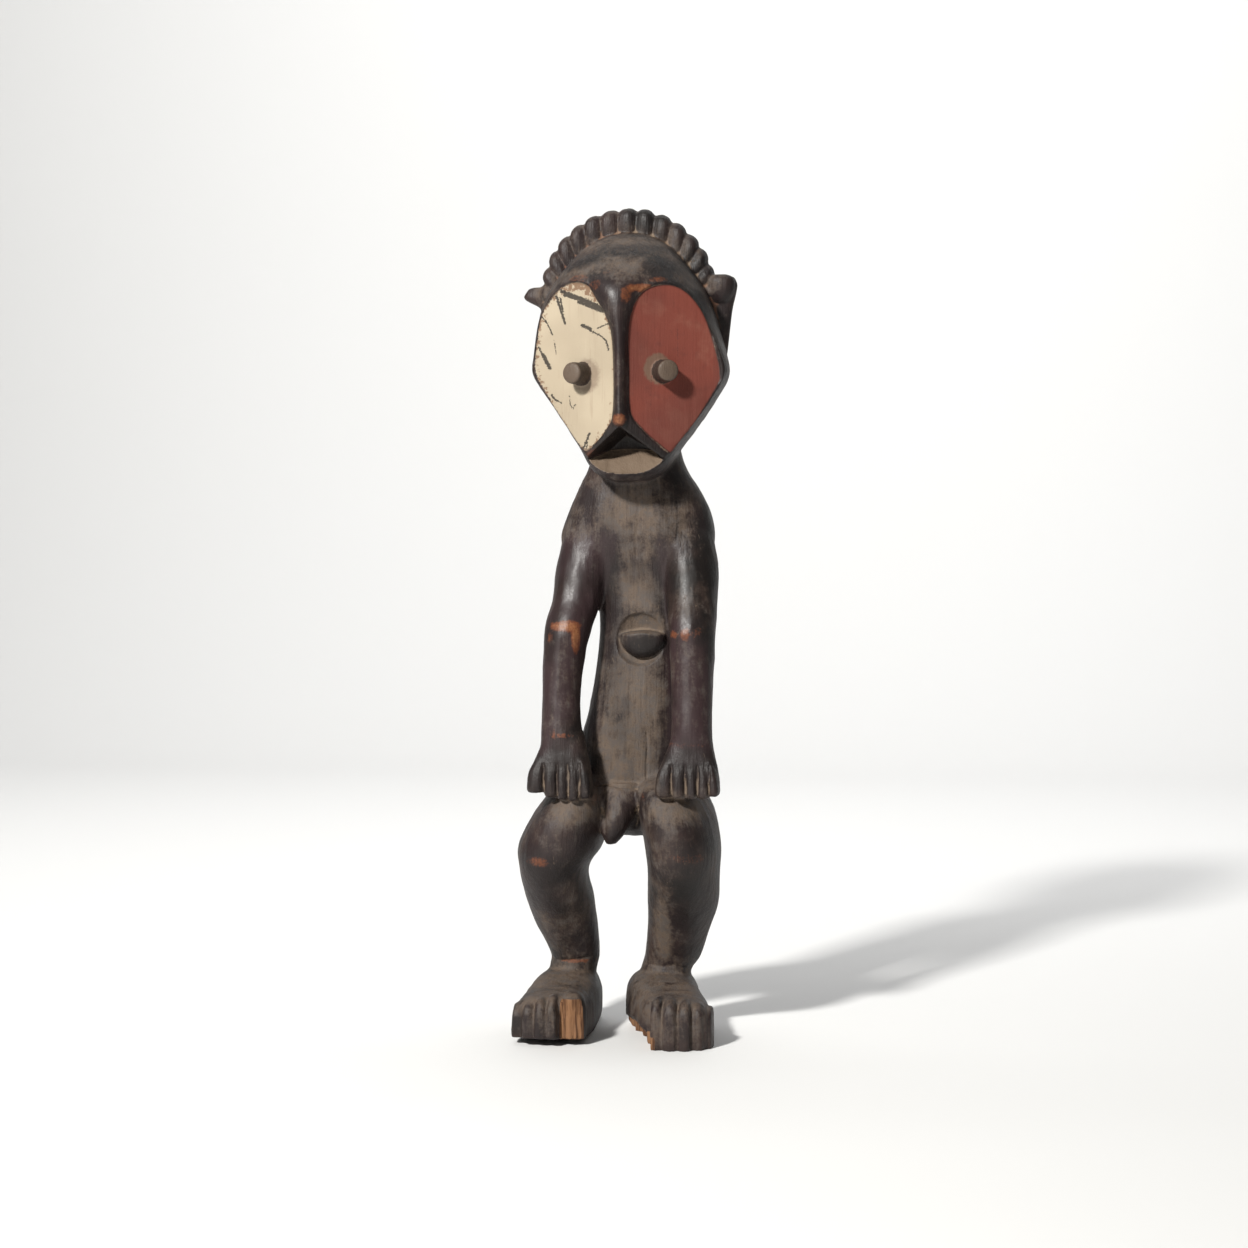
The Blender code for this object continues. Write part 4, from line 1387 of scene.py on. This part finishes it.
@dataclass(frozen=True)
class Grain:
    """Vertical wood grain, blotches, specks and fine scratches, worked out from the place on the piece."""

    streak_scale: float = 330.0
    stretch: float = 0.045
    blotch_scale: float = 34.0
    mottle_scale: float = 120.0
    speck_scale: float = 620.0
    bend_scale: float = 18.0
    scratch_scale: float = 700.0
    gate_scale: float = 55.0

    def group(self) -> Group:
        """Build the shared group.

        Returns:
            A group from Place to Streak, Fine, Blotch, Mottle, Broad, Speck and Scratch.
        """
        titles = ("Streak", "Fine", "Blotch", "Mottle", "Broad", "Speck", "Scratch")
        made = Group("wood_grain", {"Place": "NodeSocketVector"}, dict.fromkeys(titles, "NodeSocketFloat"))
        nodes, place = made.nodes, made.source["Place"]
        bend = nodes.noise(place, self.bend_scale, 2.0)
        drawn = nodes.vector("MULTIPLY", place, (1.0, 1.0, self.stretch))
        drawn = nodes.vector("ADD", drawn, nodes.scaled((0.006, 0.004, 0.0), bend))
        fields = ((drawn, self.streak_scale, 4.0, 0.6), (drawn, 2.6 * self.streak_scale, 2.0, 0.5),
                  (place, self.blotch_scale, 5.0, 0.62), (place, self.mottle_scale, 5.0, 0.68),
                  (place, 0.36 * self.blotch_scale, 3.0, 0.5), (place, self.speck_scale, 3.0, 0.6))
        for title, field in zip(titles, fields):
            nodes.put(made.result[title], nodes.noise(*field))
        slant = nodes.vector("ADD", place, nodes.scaled((0.6, 0.0, 0.9), place))
        slant = nodes.vector("MULTIPLY", slant, (1.0, 1.0, 0.12))
        scratch = nodes.noise(slant, self.scratch_scale, 1.0, 0.4)
        gate = nodes.band(nodes.noise(place, self.gate_scale, 2.0), 0.56, 0.68)
        nodes.put(made.result["Scratch"], nodes.times(nodes.band(scratch, 0.66, 0.74), gate))
        return made


@dataclass(frozen=True)
class Stroke:
    """A scratch or flake on a face plane, as a path of (away from the ridge, height) and a half width."""

    side: Side
    path: Stations
    width: float


STROKES = (
    Stroke(Side.LEFT, ((51.2, 576.2), (37.3, 572.4), (26.6, 568.2), (17.1, 563.6)), 1.5),
    Stroke(Side.LEFT, ((38.5, 570.2), (15.9, 561.6)), 1.3),
    Stroke(Side.LEFT, ((54.5, 579.0), (42.0, 574.2)), 1.3),
    Stroke(Side.LEFT, ((59.0, 575.1), (55.1, 564.5), (51.2, 554.0)), 1.0),
    Stroke(Side.LEFT, ((55.6, 573.6), (53.1, 563.2)), 0.7),
    Stroke(Side.LEFT, ((34.6, 551.3), (27.3, 547.1), (18.9, 543.3), (13.2, 538.8), (11.0, 531.7)), 0.6),
    Stroke(Side.LEFT, ((35.0, 551.7), (27.6, 548.4)), 1.2),
    Stroke(Side.LEFT, ((22.0, 548.5), (11.3, 552.1)), 0.45),
    Stroke(Side.LEFT, ((75.5, 536.4), (71.2, 527.8)), 0.8),
    Stroke(Side.LEFT, ((71.8, 530.1), (65.3, 520.0)), 1.4),
    Stroke(Side.LEFT, ((33.9, 457.6), (30.9, 463.3), (28.7, 468.1)), 0.9),
    Stroke(Side.LEFT, ((31.2, 457.6), (30.3, 464.6)), 0.6),
    Stroke(Side.LEFT, ((46.9, 497.2), (46.3, 490.7), (43.8, 488.1), (41.6, 490.8)), 0.4),
    Stroke(Side.LEFT, ((63.7, 498.7), (59.8, 495.0), (54.7, 492.5)), 0.7),
    Stroke(Side.LEFT, ((72.3, 559.6), (66.8, 553.5), (62.9, 545.8)), 0.55),
    Stroke(Side.LEFT, ((61.4, 540.9), (59.3, 530.5)), 0.35),
    Stroke(Side.RIGHT, ((46.8, 549.0), (47.2, 527.1)), 0.28),
    Stroke(Side.RIGHT, ((26.2, 512.7), (25.1, 488.4)), 0.22))
RIM_SCRATCHES = (
    Stroke(Side.RIGHT, ((3.7, 466.5), (11.6, 462.7), (18.2, 459.0)), 0.5),
    Stroke(Side.RIGHT, ((7.6, 469.1), (12.9, 464.0), (16.9, 462.8)), 0.35),
    Stroke(Side.RIGHT, ((16.9, 459.0), (26.2, 455.3), (31.5, 455.3)), 0.4))


@dataclass(frozen=True)
class StrokeSet:
    """Scratches drawn by their distance from short straight runs on the face planes."""

    name: str
    strokes: Sequence[Stroke]
    face: Face = Face()
    rough_scale: float = 900.0
    rough_reach: float = 0.0042
    broad: float = 1.25

    def group(self) -> Group:
        """Build a group from Place to Mask.

        For each run the nearest point is start + run * clamp(dot(place - start, run) / dot(run, run)), and
        the mask is 1 where the place lies within the stroke's half width of it, with a ragged edge.

        Returns:
            The group.
        """
        made = Group(self.name, {"Place": "NodeSocketVector"}, {"Mask": "NodeSocketFloat"})
        nodes, place = made.nodes, made.source["Place"]
        ragged = nodes.times(nodes.minus(nodes.noise(place, self.rough_scale, 3.0), 0.5), self.rough_reach)
        total: object = -1.0
        for stroke in self.strokes:
            spots = self.face.on_plane(stroke.side, np.array(stroke.path, dtype=float), -self.face.recess)
            spots = (spots - STAND_MIDDLE) * SHARE
            for start, end in zip(spots[:-1], spots[1:]):
                run = end - start
                off = nodes.vector("SUBTRACT", place, tuple(start))
                along = nodes.vector("DOT_PRODUCT", off, tuple(run / (run @ run)), "Value")
                along = nodes.times(along, 1.0, True)
                miss = nodes.vector("SUBTRACT", off, nodes.scaled(tuple(run), along))
                gap = nodes.vector("LENGTH", miss, (0.0, 0.0, 0.0), "Value")
                total = nodes.math("MAXIMUM", total, nodes.minus(stroke.width * SHARE * self.broad, gap))
        total = nodes.minus(total, ragged)
        nodes.put(made.result["Mask"], nodes.band(total, -0.0001, 0.0003))
        return made


@dataclass(frozen=True)
class OldWood:
    """Finish of the figure: dusty dark wood with painted shade, worn high spots, two painted planes, and raw
    broken faces.
    """

    wood: WoodTones = WoodTones()
    paint: PaintTones = PaintTones()
    face: Face = Face()
    specular: float = 0.34
    sheen: float = 0.52
    paint_roughness: float = 0.56
    bump_strength: float = 0.55
    bump_depth: float = 0.0009
    fleck_scale: float = 260.0
    stained_corner: tuple[float, float] = (36.0, 578.0)
    left_collar_and_shadow: tuple[float, float] = (32.0, 512.5)
    right_collar: tuple[float, float] = (31.5, 517.5)
    peg_edge: float = 8.0

    def dust_cover(self, nodes: Nodes, grain: Outputs) -> Socket:
        """How much dust hides the wood: the dust mask broken up by the grain, less on the dark patches and
        painted shade.
        """
        dusty = nodes.mask("dust")
        for title, weight in (("Blotch", 1.7), ("Mottle", 1.9), ("Streak", 1.3), ("Speck", 0.9)):
            dusty = nodes.stir(dusty, grain[title], weight)
        dusty = nodes.minus(dusty, nodes.times(nodes.mask("soot_and_shade"), 0.85))
        return nodes.band(dusty, 0.0, 1.2, 0.92)

    def hollow_dust(self, nodes: Nodes, grain: Outputs, colour: Socket) -> Socket:
        """Lay caked dust in the hollows and a tan tone between the rolls of hair."""
        tones = self.wood
        caked = nodes.stir(nodes.mask("hollow"), grain["Blotch"], 1.2)
        # Less caked dust on the dark patches and painted shade.
        clear_of_dark_and_shade = nodes.minus(1.0, nodes.times(nodes.mask("soot_and_shade"), 0.55))
        caked = nodes.times(nodes.band(caked, 0.35, 0.95, 0.7), clear_of_dark_and_shade)
        colour = nodes.mix(caked, colour, tones.pale_dust)
        in_hair = nodes.times(nodes.mask("hair"), nodes.band(nodes.mask("hollow"), 0.15, 0.7, 0.75))
        tan = nodes.mix(nodes.band(grain["Broad"], 0.40, 0.60), tones.pale_dust, tones.rust)
        return nodes.mix(in_hair, colour, tan)

    def wear(self, nodes: Nodes, grain: Outputs, colour: Socket, worn: Socket) -> Socket:
        """Bare rust and amber wood on the worn spots, dark patches and painted shade away from them, and the
        dusty lip.

        Args:
            nodes: the material's tree.
            grain: outputs of the grain group.
            colour: the colour so far.
            worn: how worn each spot is.

        Returns:
            The colour.
        """
        tones, blotch = self.wood, grain["Blotch"]
        chip = nodes.stir(nodes.stir(worn, blotch, 1.3), grain["Speck"], 0.8)
        colour = nodes.mix(nodes.band(chip, 0.38, 0.86, 0.75), colour, tones.rust)
        colour = nodes.mix(nodes.band(chip, 0.80, 1.25, 0.8), colour, tones.amber)
        # Dark patches and painted shade go towards deep, less on the worn spots.
        soot_and_shade = nodes.times(nodes.mask("soot_and_shade"), nodes.minus(1.25, nodes.times(worn, 1.2), True))
        colour = nodes.mix(nodes.times(soot_and_shade, 0.8), colour, tones.deep)
        lip = nodes.band(nodes.plus(nodes.mask("lip"), nodes.minus(blotch, 0.5)), 0.3, 0.8, 0.85)
        return nodes.mix(lip, colour, tones.pale_dust)

    def wood_colour(self, nodes: Nodes, grain: Outputs) -> tuple[Socket, Socket]:
        """Colour and roughness of the wood itself.

        Args:
            nodes: the material's tree.
            grain: outputs of the grain group.

        Returns:
            The colour socket and the roughness socket.
        """
        tones, streak = self.wood, grain["Streak"]
        base = nodes.mix(nodes.band(grain["Blotch"], 0.40, 0.66), tones.deep, tones.heart)
        plum = nodes.times(nodes.band(grain["Broad"], 0.36, 0.62), nodes.plus(nodes.mask("arms"), 0.45))
        base = nodes.mix(plum, base, tones.plum)
        base = nodes.mix(nodes.band(streak, 0.52, 0.74, 0.5), base, tones.deep)
        worn = nodes.plus(nodes.mask("worn"), nodes.times(nodes.mask("ridge"), 0.10))
        cover = self.dust_cover(nodes, grain)
        powder = nodes.mix(nodes.band(grain["Mottle"], 0.42, 0.62, 0.75), tones.dust, tones.ash)
        colour = self.hollow_dust(nodes, grain, nodes.mix(cover, base, powder))
        colour = self.wear(nodes, grain, colour, worn)
        colour = nodes.mix(nodes.times(grain["Scratch"], 0.30), colour, tones.pale_dust)
        threads = nodes.mix(nodes.band(streak, 0.42, 0.62), tones.fibre, tones.fibre_dark)
        colour = nodes.mix(nodes.band(nodes.mask("raw"), 0.35, 0.6), colour, threads)
        gloss = nodes.times(nodes.mask("polish"), nodes.minus(1.0, cover, True))
        rough = nodes.minus(nodes.plus(self.sheen, nodes.times(cover, 0.22)),
                            nodes.times(nodes.band(gloss, 0.1, 0.8), 0.1))
        rough = nodes.stir(rough, grain["Speck"], 0.25)
        return colour, nodes.plus(rough, nodes.times(nodes.mask("raw"), 0.3), True)

    def cream_paint(self, nodes: Nodes, place: Socket, grain: Outputs, fleck: Socket,
                    strokes: Socket) -> Socket:
        """Cream plane: greyed, stained along its edge and one corner, with a bare collar that is also the
        peg's painted shadow, and dark strokes.

        Args:
            nodes: the material's tree.
            place: Object coordinates.
            grain: outputs of the grain group.
            fleck: the noise that breaks up the stains.
            strokes: the mask of the scratches.

        Returns:
            The colour.
        """
        tones = self.paint
        light = nodes.mix(nodes.band(grain["Broad"], 0.42, 0.66, 0.6), tones.cream, tones.cream_grey)
        light = nodes.mix(nodes.band(grain["Streak"], 0.55, 0.75, 0.22), light, tones.stain)
        freckle = nodes.minus(nodes.times(nodes.minus(fleck, 0.46), 30.0), nodes.mask("cream"))
        corner = self.near(nodes, place, Side.LEFT, self.stained_corner, 26.0)
        freckle = nodes.plus(freckle, nodes.times(corner, 4.5))
        light = nodes.mix(nodes.band(freckle, 0.0, 2.0, 0.8), light, tones.stain)
        # Collar round the left peg, set below it on the ridge side: bare wood, and also the peg's painted
        # shadow.
        collar = nodes.stir(self.near(nodes, place, Side.LEFT, self.left_collar_and_shadow, 18.0), fleck, 1.3)
        light = nodes.mix(nodes.band(collar, 0.2, 1.0, 0.6), light, tones.collar)
        return nodes.mix(nodes.times(strokes, 0.9), light, self.wood.deep)

    def red_paint(self, nodes: Nodes, place: Socket, grain: Outputs, fleck: Socket,
                  strokes: Socket) -> Socket:
        """Red plane: matt and uneven, with a bare collar, faint strokes and a painted shadow line round the
        edge of its sunk bed.

        Args:
            nodes: the material's tree.
            place: Object coordinates.
            grain: outputs of the grain group.
            fleck: the noise that breaks up the collar.
            strokes: the mask of the scratches.

        Returns:
            The colour.
        """
        tones, red_at = self.paint, nodes.mask("red")
        matt = nodes.mix(nodes.band(grain["Streak"], 0.50, 0.74, 0.16), tones.red, tones.red_dark)
        for title, low, high, top, tone in (
                ("Mottle", 0.52, 0.72, 0.45, tones.red_dark), ("Blotch", 0.46, 0.66, 0.55, tones.red_pale),
                ("Broad", 0.44, 0.62, 0.55, tones.red_dark), ("Speck", 0.70, 0.78, 0.4, tones.red_pale)):
            matt = nodes.mix(nodes.band(grain[title], low, high, top), matt, tone)
        collar = nodes.stir(self.near(nodes, place, Side.RIGHT, self.right_collar, 15.5), fleck, 1.2)
        matt = nodes.mix(nodes.band(collar, 0.3, 0.8, 0.85), matt, tones.collar)
        matt = nodes.mix(nodes.times(strokes, 0.7), matt, tones.red_dark)
        # Painted shadow of the sunk bed's edge: a thin dark line along the red's border.
        edge_shadow = nodes.times(nodes.band(red_at, 2.4, 0.6), nodes.band(red_at, -2.0, -0.6))
        return nodes.mix(nodes.times(edge_shadow, 0.75), matt, self.wood.deep)

    def pegs(self, nodes: Nodes, grain: Outputs, colour: Socket) -> Socket:
        """Lay the pegs' own wood over the colour, dusty on the end and paler on its rim."""
        wood, reach = self.wood, nodes.mask("peg")
        peg = nodes.band(reach, 50.0, 40.0)
        end = nodes.times(peg, nodes.band(reach, 13.2, 14.8))
        stem = nodes.mix(nodes.band(grain["Blotch"], 0.40, 0.72, 0.35), wood.heart, wood.dust)
        rim = nodes.times(end, nodes.band(nodes.mask("ridge"), 0.2, 0.7))
        stem = nodes.mix(nodes.times(end, 0.18), stem, wood.dust)
        stem = nodes.mix(nodes.times(rim, 0.3), stem, wood.pale_dust)
        return nodes.mix(peg, colour, stem)

    def painted(self, nodes: Nodes, place: Socket, grain: Outputs, colour: Socket,
                rough: Socket) -> tuple[Socket, Socket]:
        """Lay the two painted planes and the pegs over the wood.

        Args:
            nodes: the material's tree.
            place: Object coordinates.
            grain: outputs of the grain group.
            colour: the wood's colour.
            rough: the wood's roughness.

        Returns:
            The colour and the roughness.
        """
        speck = grain["Speck"]
        fleck = nodes.noise(place, self.fleck_scale, 4.0, 0.7)
        ragged = nodes.stir(nodes.times(nodes.minus(speck, 0.5), 3.4), fleck, 3.0)
        marks = (StrokeSet("plane_strokes", STROKES, self.face),
                 StrokeSet("rim_scratches", RIM_SCRATCHES, self.face))
        strokes, scratches = (mark.group().use(nodes, Place=place)["Mask"] for mark in marks)
        cream = nodes.band(nodes.plus(nodes.mask("cream"), ragged), 0.5, 1.1)
        red = nodes.band(nodes.plus(nodes.mask("red"), nodes.times(ragged, 0.5)), 0.6, 1.1)
        colour = nodes.mix(cream, colour, self.cream_paint(nodes, place, grain, fleck, strokes))
        colour = nodes.mix(red, colour, self.red_paint(nodes, place, grain, fleck, strokes))
        colour = nodes.mix(nodes.times(scratches, 0.55), colour, self.wood.dust)
        paint = nodes.plus(cream, red, True)
        rough = nodes.plus(nodes.times(rough, nodes.minus(1.0, paint)),
                           nodes.times(paint, nodes.plus(self.paint_roughness, nodes.times(speck, 0.22))))
        return self.pegs(nodes, grain, colour), rough

    def near(self, nodes: Nodes, place: Socket, side: Side, spot: tuple[float, float],
             outer: float) -> Socket:
        """Closeness to a spot on a face plane.

        Args:
            nodes: the tree.
            place: Object coordinates.
            side: which plane.
            spot: (away from the ridge, height).
            outer: distance at which it reaches nought; it reaches one at the peg's edge.

        Returns:
            The mask.
        """
        centre = (self.face.on_plane(side, np.array([spot]), -self.face.recess)[0] - STAND_MIDDLE) * SHARE
        gap = nodes.vector("DISTANCE", place, tuple(centre), "Value")
        return nodes.band(gap, outer * SHARE, self.peg_edge * SHARE)

    def bump(self, nodes: Nodes, grain: Outputs) -> Socket:
        """Fine relief of the grain, weaker where the wood is polished or painted."""
        height = nodes.times(grain["Streak"], 1.0)
        for title, weight in (("Fine", 0.5), ("Speck", 0.45), ("Blotch", 0.8)):
            height = nodes.plus(height, nodes.times(grain[title], weight))
        height = nodes.minus(height, nodes.times(grain["Scratch"], 0.5))
        bump = nodes.add("ShaderNodeBump")
        painted = nodes.math("MAXIMUM", nodes.mask("cream"), nodes.mask("red"))
        calm = nodes.plus(nodes.times(nodes.mask("polish"), 0.4), nodes.band(painted, 0.0, 1.0, 0.33))
        nodes.put(bump.inputs["Strength"], nodes.minus(self.bump_strength, calm, True))
        bump.inputs["Distance"].default_value = self.bump_depth
        nodes.put(bump.inputs["Height"], height)
        return bump.outputs["Normal"]

    def build(self) -> bpy.types.Material:
        """Make the material.

        Returns:
            The finish of the whole figure.
        """
        material = bpy.data.materials.new("old_carved_wood")
        material.use_nodes = True
        nodes = Nodes(material.node_tree)
        shader = material.node_tree.nodes["Principled BSDF"]
        place = nodes.add("ShaderNodeTexCoord").outputs["Object"]
        grain = Grain().group().use(nodes, Place=place)
        colour, rough = self.wood_colour(nodes, grain)
        colour, rough = self.painted(nodes, place, grain, colour, rough)
        nodes.put(shader.inputs["Base Color"], colour)
        nodes.put(shader.inputs["Roughness"], rough)
        shader.inputs["Specular IOR Level"].default_value = self.specular
        nodes.put(shader.inputs["Normal"], self.bump(nodes, grain))
        return material


@dataclass(frozen=True)
class Studio:
    """Pale floor and wall, key light from the upper left, light on the wall, and the photograph's view."""

    turn: float = math.radians(8.5)
    camera_at: tuple[float, float, float] = (0.2885, -1.9494, 0.381)
    lens: float = 72.115
    shift_up: float = -0.0617
    film_width: float = 36.0
    key_from: tuple[float, float, float] = (-0.36, -0.766, 0.536)
    key_aim: tuple[float, float, float] = (0.0, 0.0, 0.33)
    key_distance: float = 3.0
    key_size: float = 0.28
    key_power: float = 140.0
    key_tint: Colour = (1.0, 0.985, 0.95)
    wall_light_at: tuple[float, float, float] = (0.0, 1.0, 2.6)
    wall_light_tilt: float = math.radians(55.0)
    wall_light_size: float = 2.5
    wall_light_power: float = 70.0
    sky_strength: float = 0.12
    floor_tone: Colour = (0.78, 0.78, 0.775)
    floor_roughness: float = 0.8
    half_floor: float = 6.0
    bend_from: float = 2.2
    bend_radius: float = 1.2
    wall_top: float = 5.0

    def place_camera(self) -> None:
        """Level camera, turned to the figure's left, as the photograph was taken."""
        data = bpy.data.cameras.new("view")
        data.lens = self.lens
        data.sensor_width = self.film_width
        data.shift_y = self.shift_up
        camera = bpy.data.objects.new("view", data)
        camera.location = self.camera_at
        camera.rotation_euler = (math.radians(90.0), 0.0, self.turn)
        bpy.context.scene.collection.objects.link(camera)
        bpy.context.scene.camera = camera

    def place_light(self, name: str, size: float, power: float, tint: Colour, at: Sequence[float],
                    turn: Sequence[float]) -> None:
        """Square soft light.

        Args:
            name: its name.
            size: edge of its face.
            power: watts.
            tint: colour.
            at: its place.
            turn: its rotation.
        """
        data = bpy.data.lights.new(name, "AREA")
        data.size = size
        data.energy = power
        data.color = tint
        light = bpy.data.objects.new(name, data)
        light.location = at
        light.rotation_euler = turn
        bpy.context.scene.collection.objects.link(light)

    def light(self) -> None:
        """Key light that looks at the figure, and a broad one behind it that looks at the wall only."""
        direction = np.array(self.key_from) / np.linalg.norm(self.key_from)
        turn = (math.acos(direction[2]), 0.0, math.atan2(direction[0], -direction[1]))
        self.place_light("key", self.key_size, self.key_power, self.key_tint,
                         np.array(self.key_aim) + direction * self.key_distance, turn)
        self.place_light("wall_light", self.wall_light_size, self.wall_light_power, (1.0, 1.0, 1.0),
                         self.wall_light_at, (self.wall_light_tilt, 0.0, 0.0))

    def floor(self) -> bpy.types.Object:
        """Floor that runs back and up into a wall: a level line, a quarter circle, and an upright line."""
        angle = np.linspace(0.0, 0.5 * math.pi, 24)
        bend, near = self.bend_radius, -self.half_floor
        y = np.concatenate([[near], self.bend_from + bend * np.sin(angle), [self.bend_from + bend]])
        z = np.concatenate([[0.0], bend - bend * np.cos(angle), [self.wall_top]])
        x = np.array([-self.half_floor, self.half_floor])
        grid = np.stack(np.broadcast_arrays(x[None], y[:, None], z[:, None]), axis=-1).reshape(-1, 3)
        rows = np.arange(len(y) - 1)[:, None] * 2
        quads = (rows + np.array([[0, 1, 3, 2]])).tolist()
        mesh = bpy.data.meshes.new("floor")
        mesh.from_pydata(grid.tolist(), [], quads)
        mesh.polygons.foreach_set("use_smooth", [True] * len(quads))
        floor = bpy.data.objects.new("floor", mesh)
        bpy.context.scene.collection.objects.link(floor)
        material = bpy.data.materials.new("pale_floor")
        material.use_nodes = True
        shader = material.node_tree.nodes["Principled BSDF"]
        shader.inputs["Base Color"].default_value = (*self.floor_tone, 1.0)
        shader.inputs["Roughness"].default_value = self.floor_roughness
        mesh.materials.append(material)
        return floor

    def build(self) -> None:
        """Set up floor, lights and camera."""
        self.floor()
        self.light()
        world = bpy.data.worlds.new("studio")
        world.use_nodes = True
        sky = world.node_tree.nodes["Background"].inputs
        sky["Color"].default_value = (1.0, 1.0, 1.0, 1.0)
        sky["Strength"].default_value = self.sky_strength
        bpy.context.scene.world = world
        bpy.context.scene.view_settings.view_transform = "Standard"
        self.place_camera()


def main() -> None:
    """Build the figure, dress it, and set the studio round it."""
    logging.basicConfig(level=logging.INFO, format="%(name)s: %(message)s")
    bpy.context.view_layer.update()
    figure = Figure()
    block = figure.carve()
    piece = block.body
    figure.weather(block)
    block.thin(figure.most_triangles)
    piece.data.shade_smooth()
    Weathering().note_all(block, figure)
    block.dress(OldWood().build())
    log.info("figure: %d vertices", len(piece.data.vertices))
    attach(piece, "root")
    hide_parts("carved_figure")
    Studio().build()


if __name__ == "__main__":
    main()
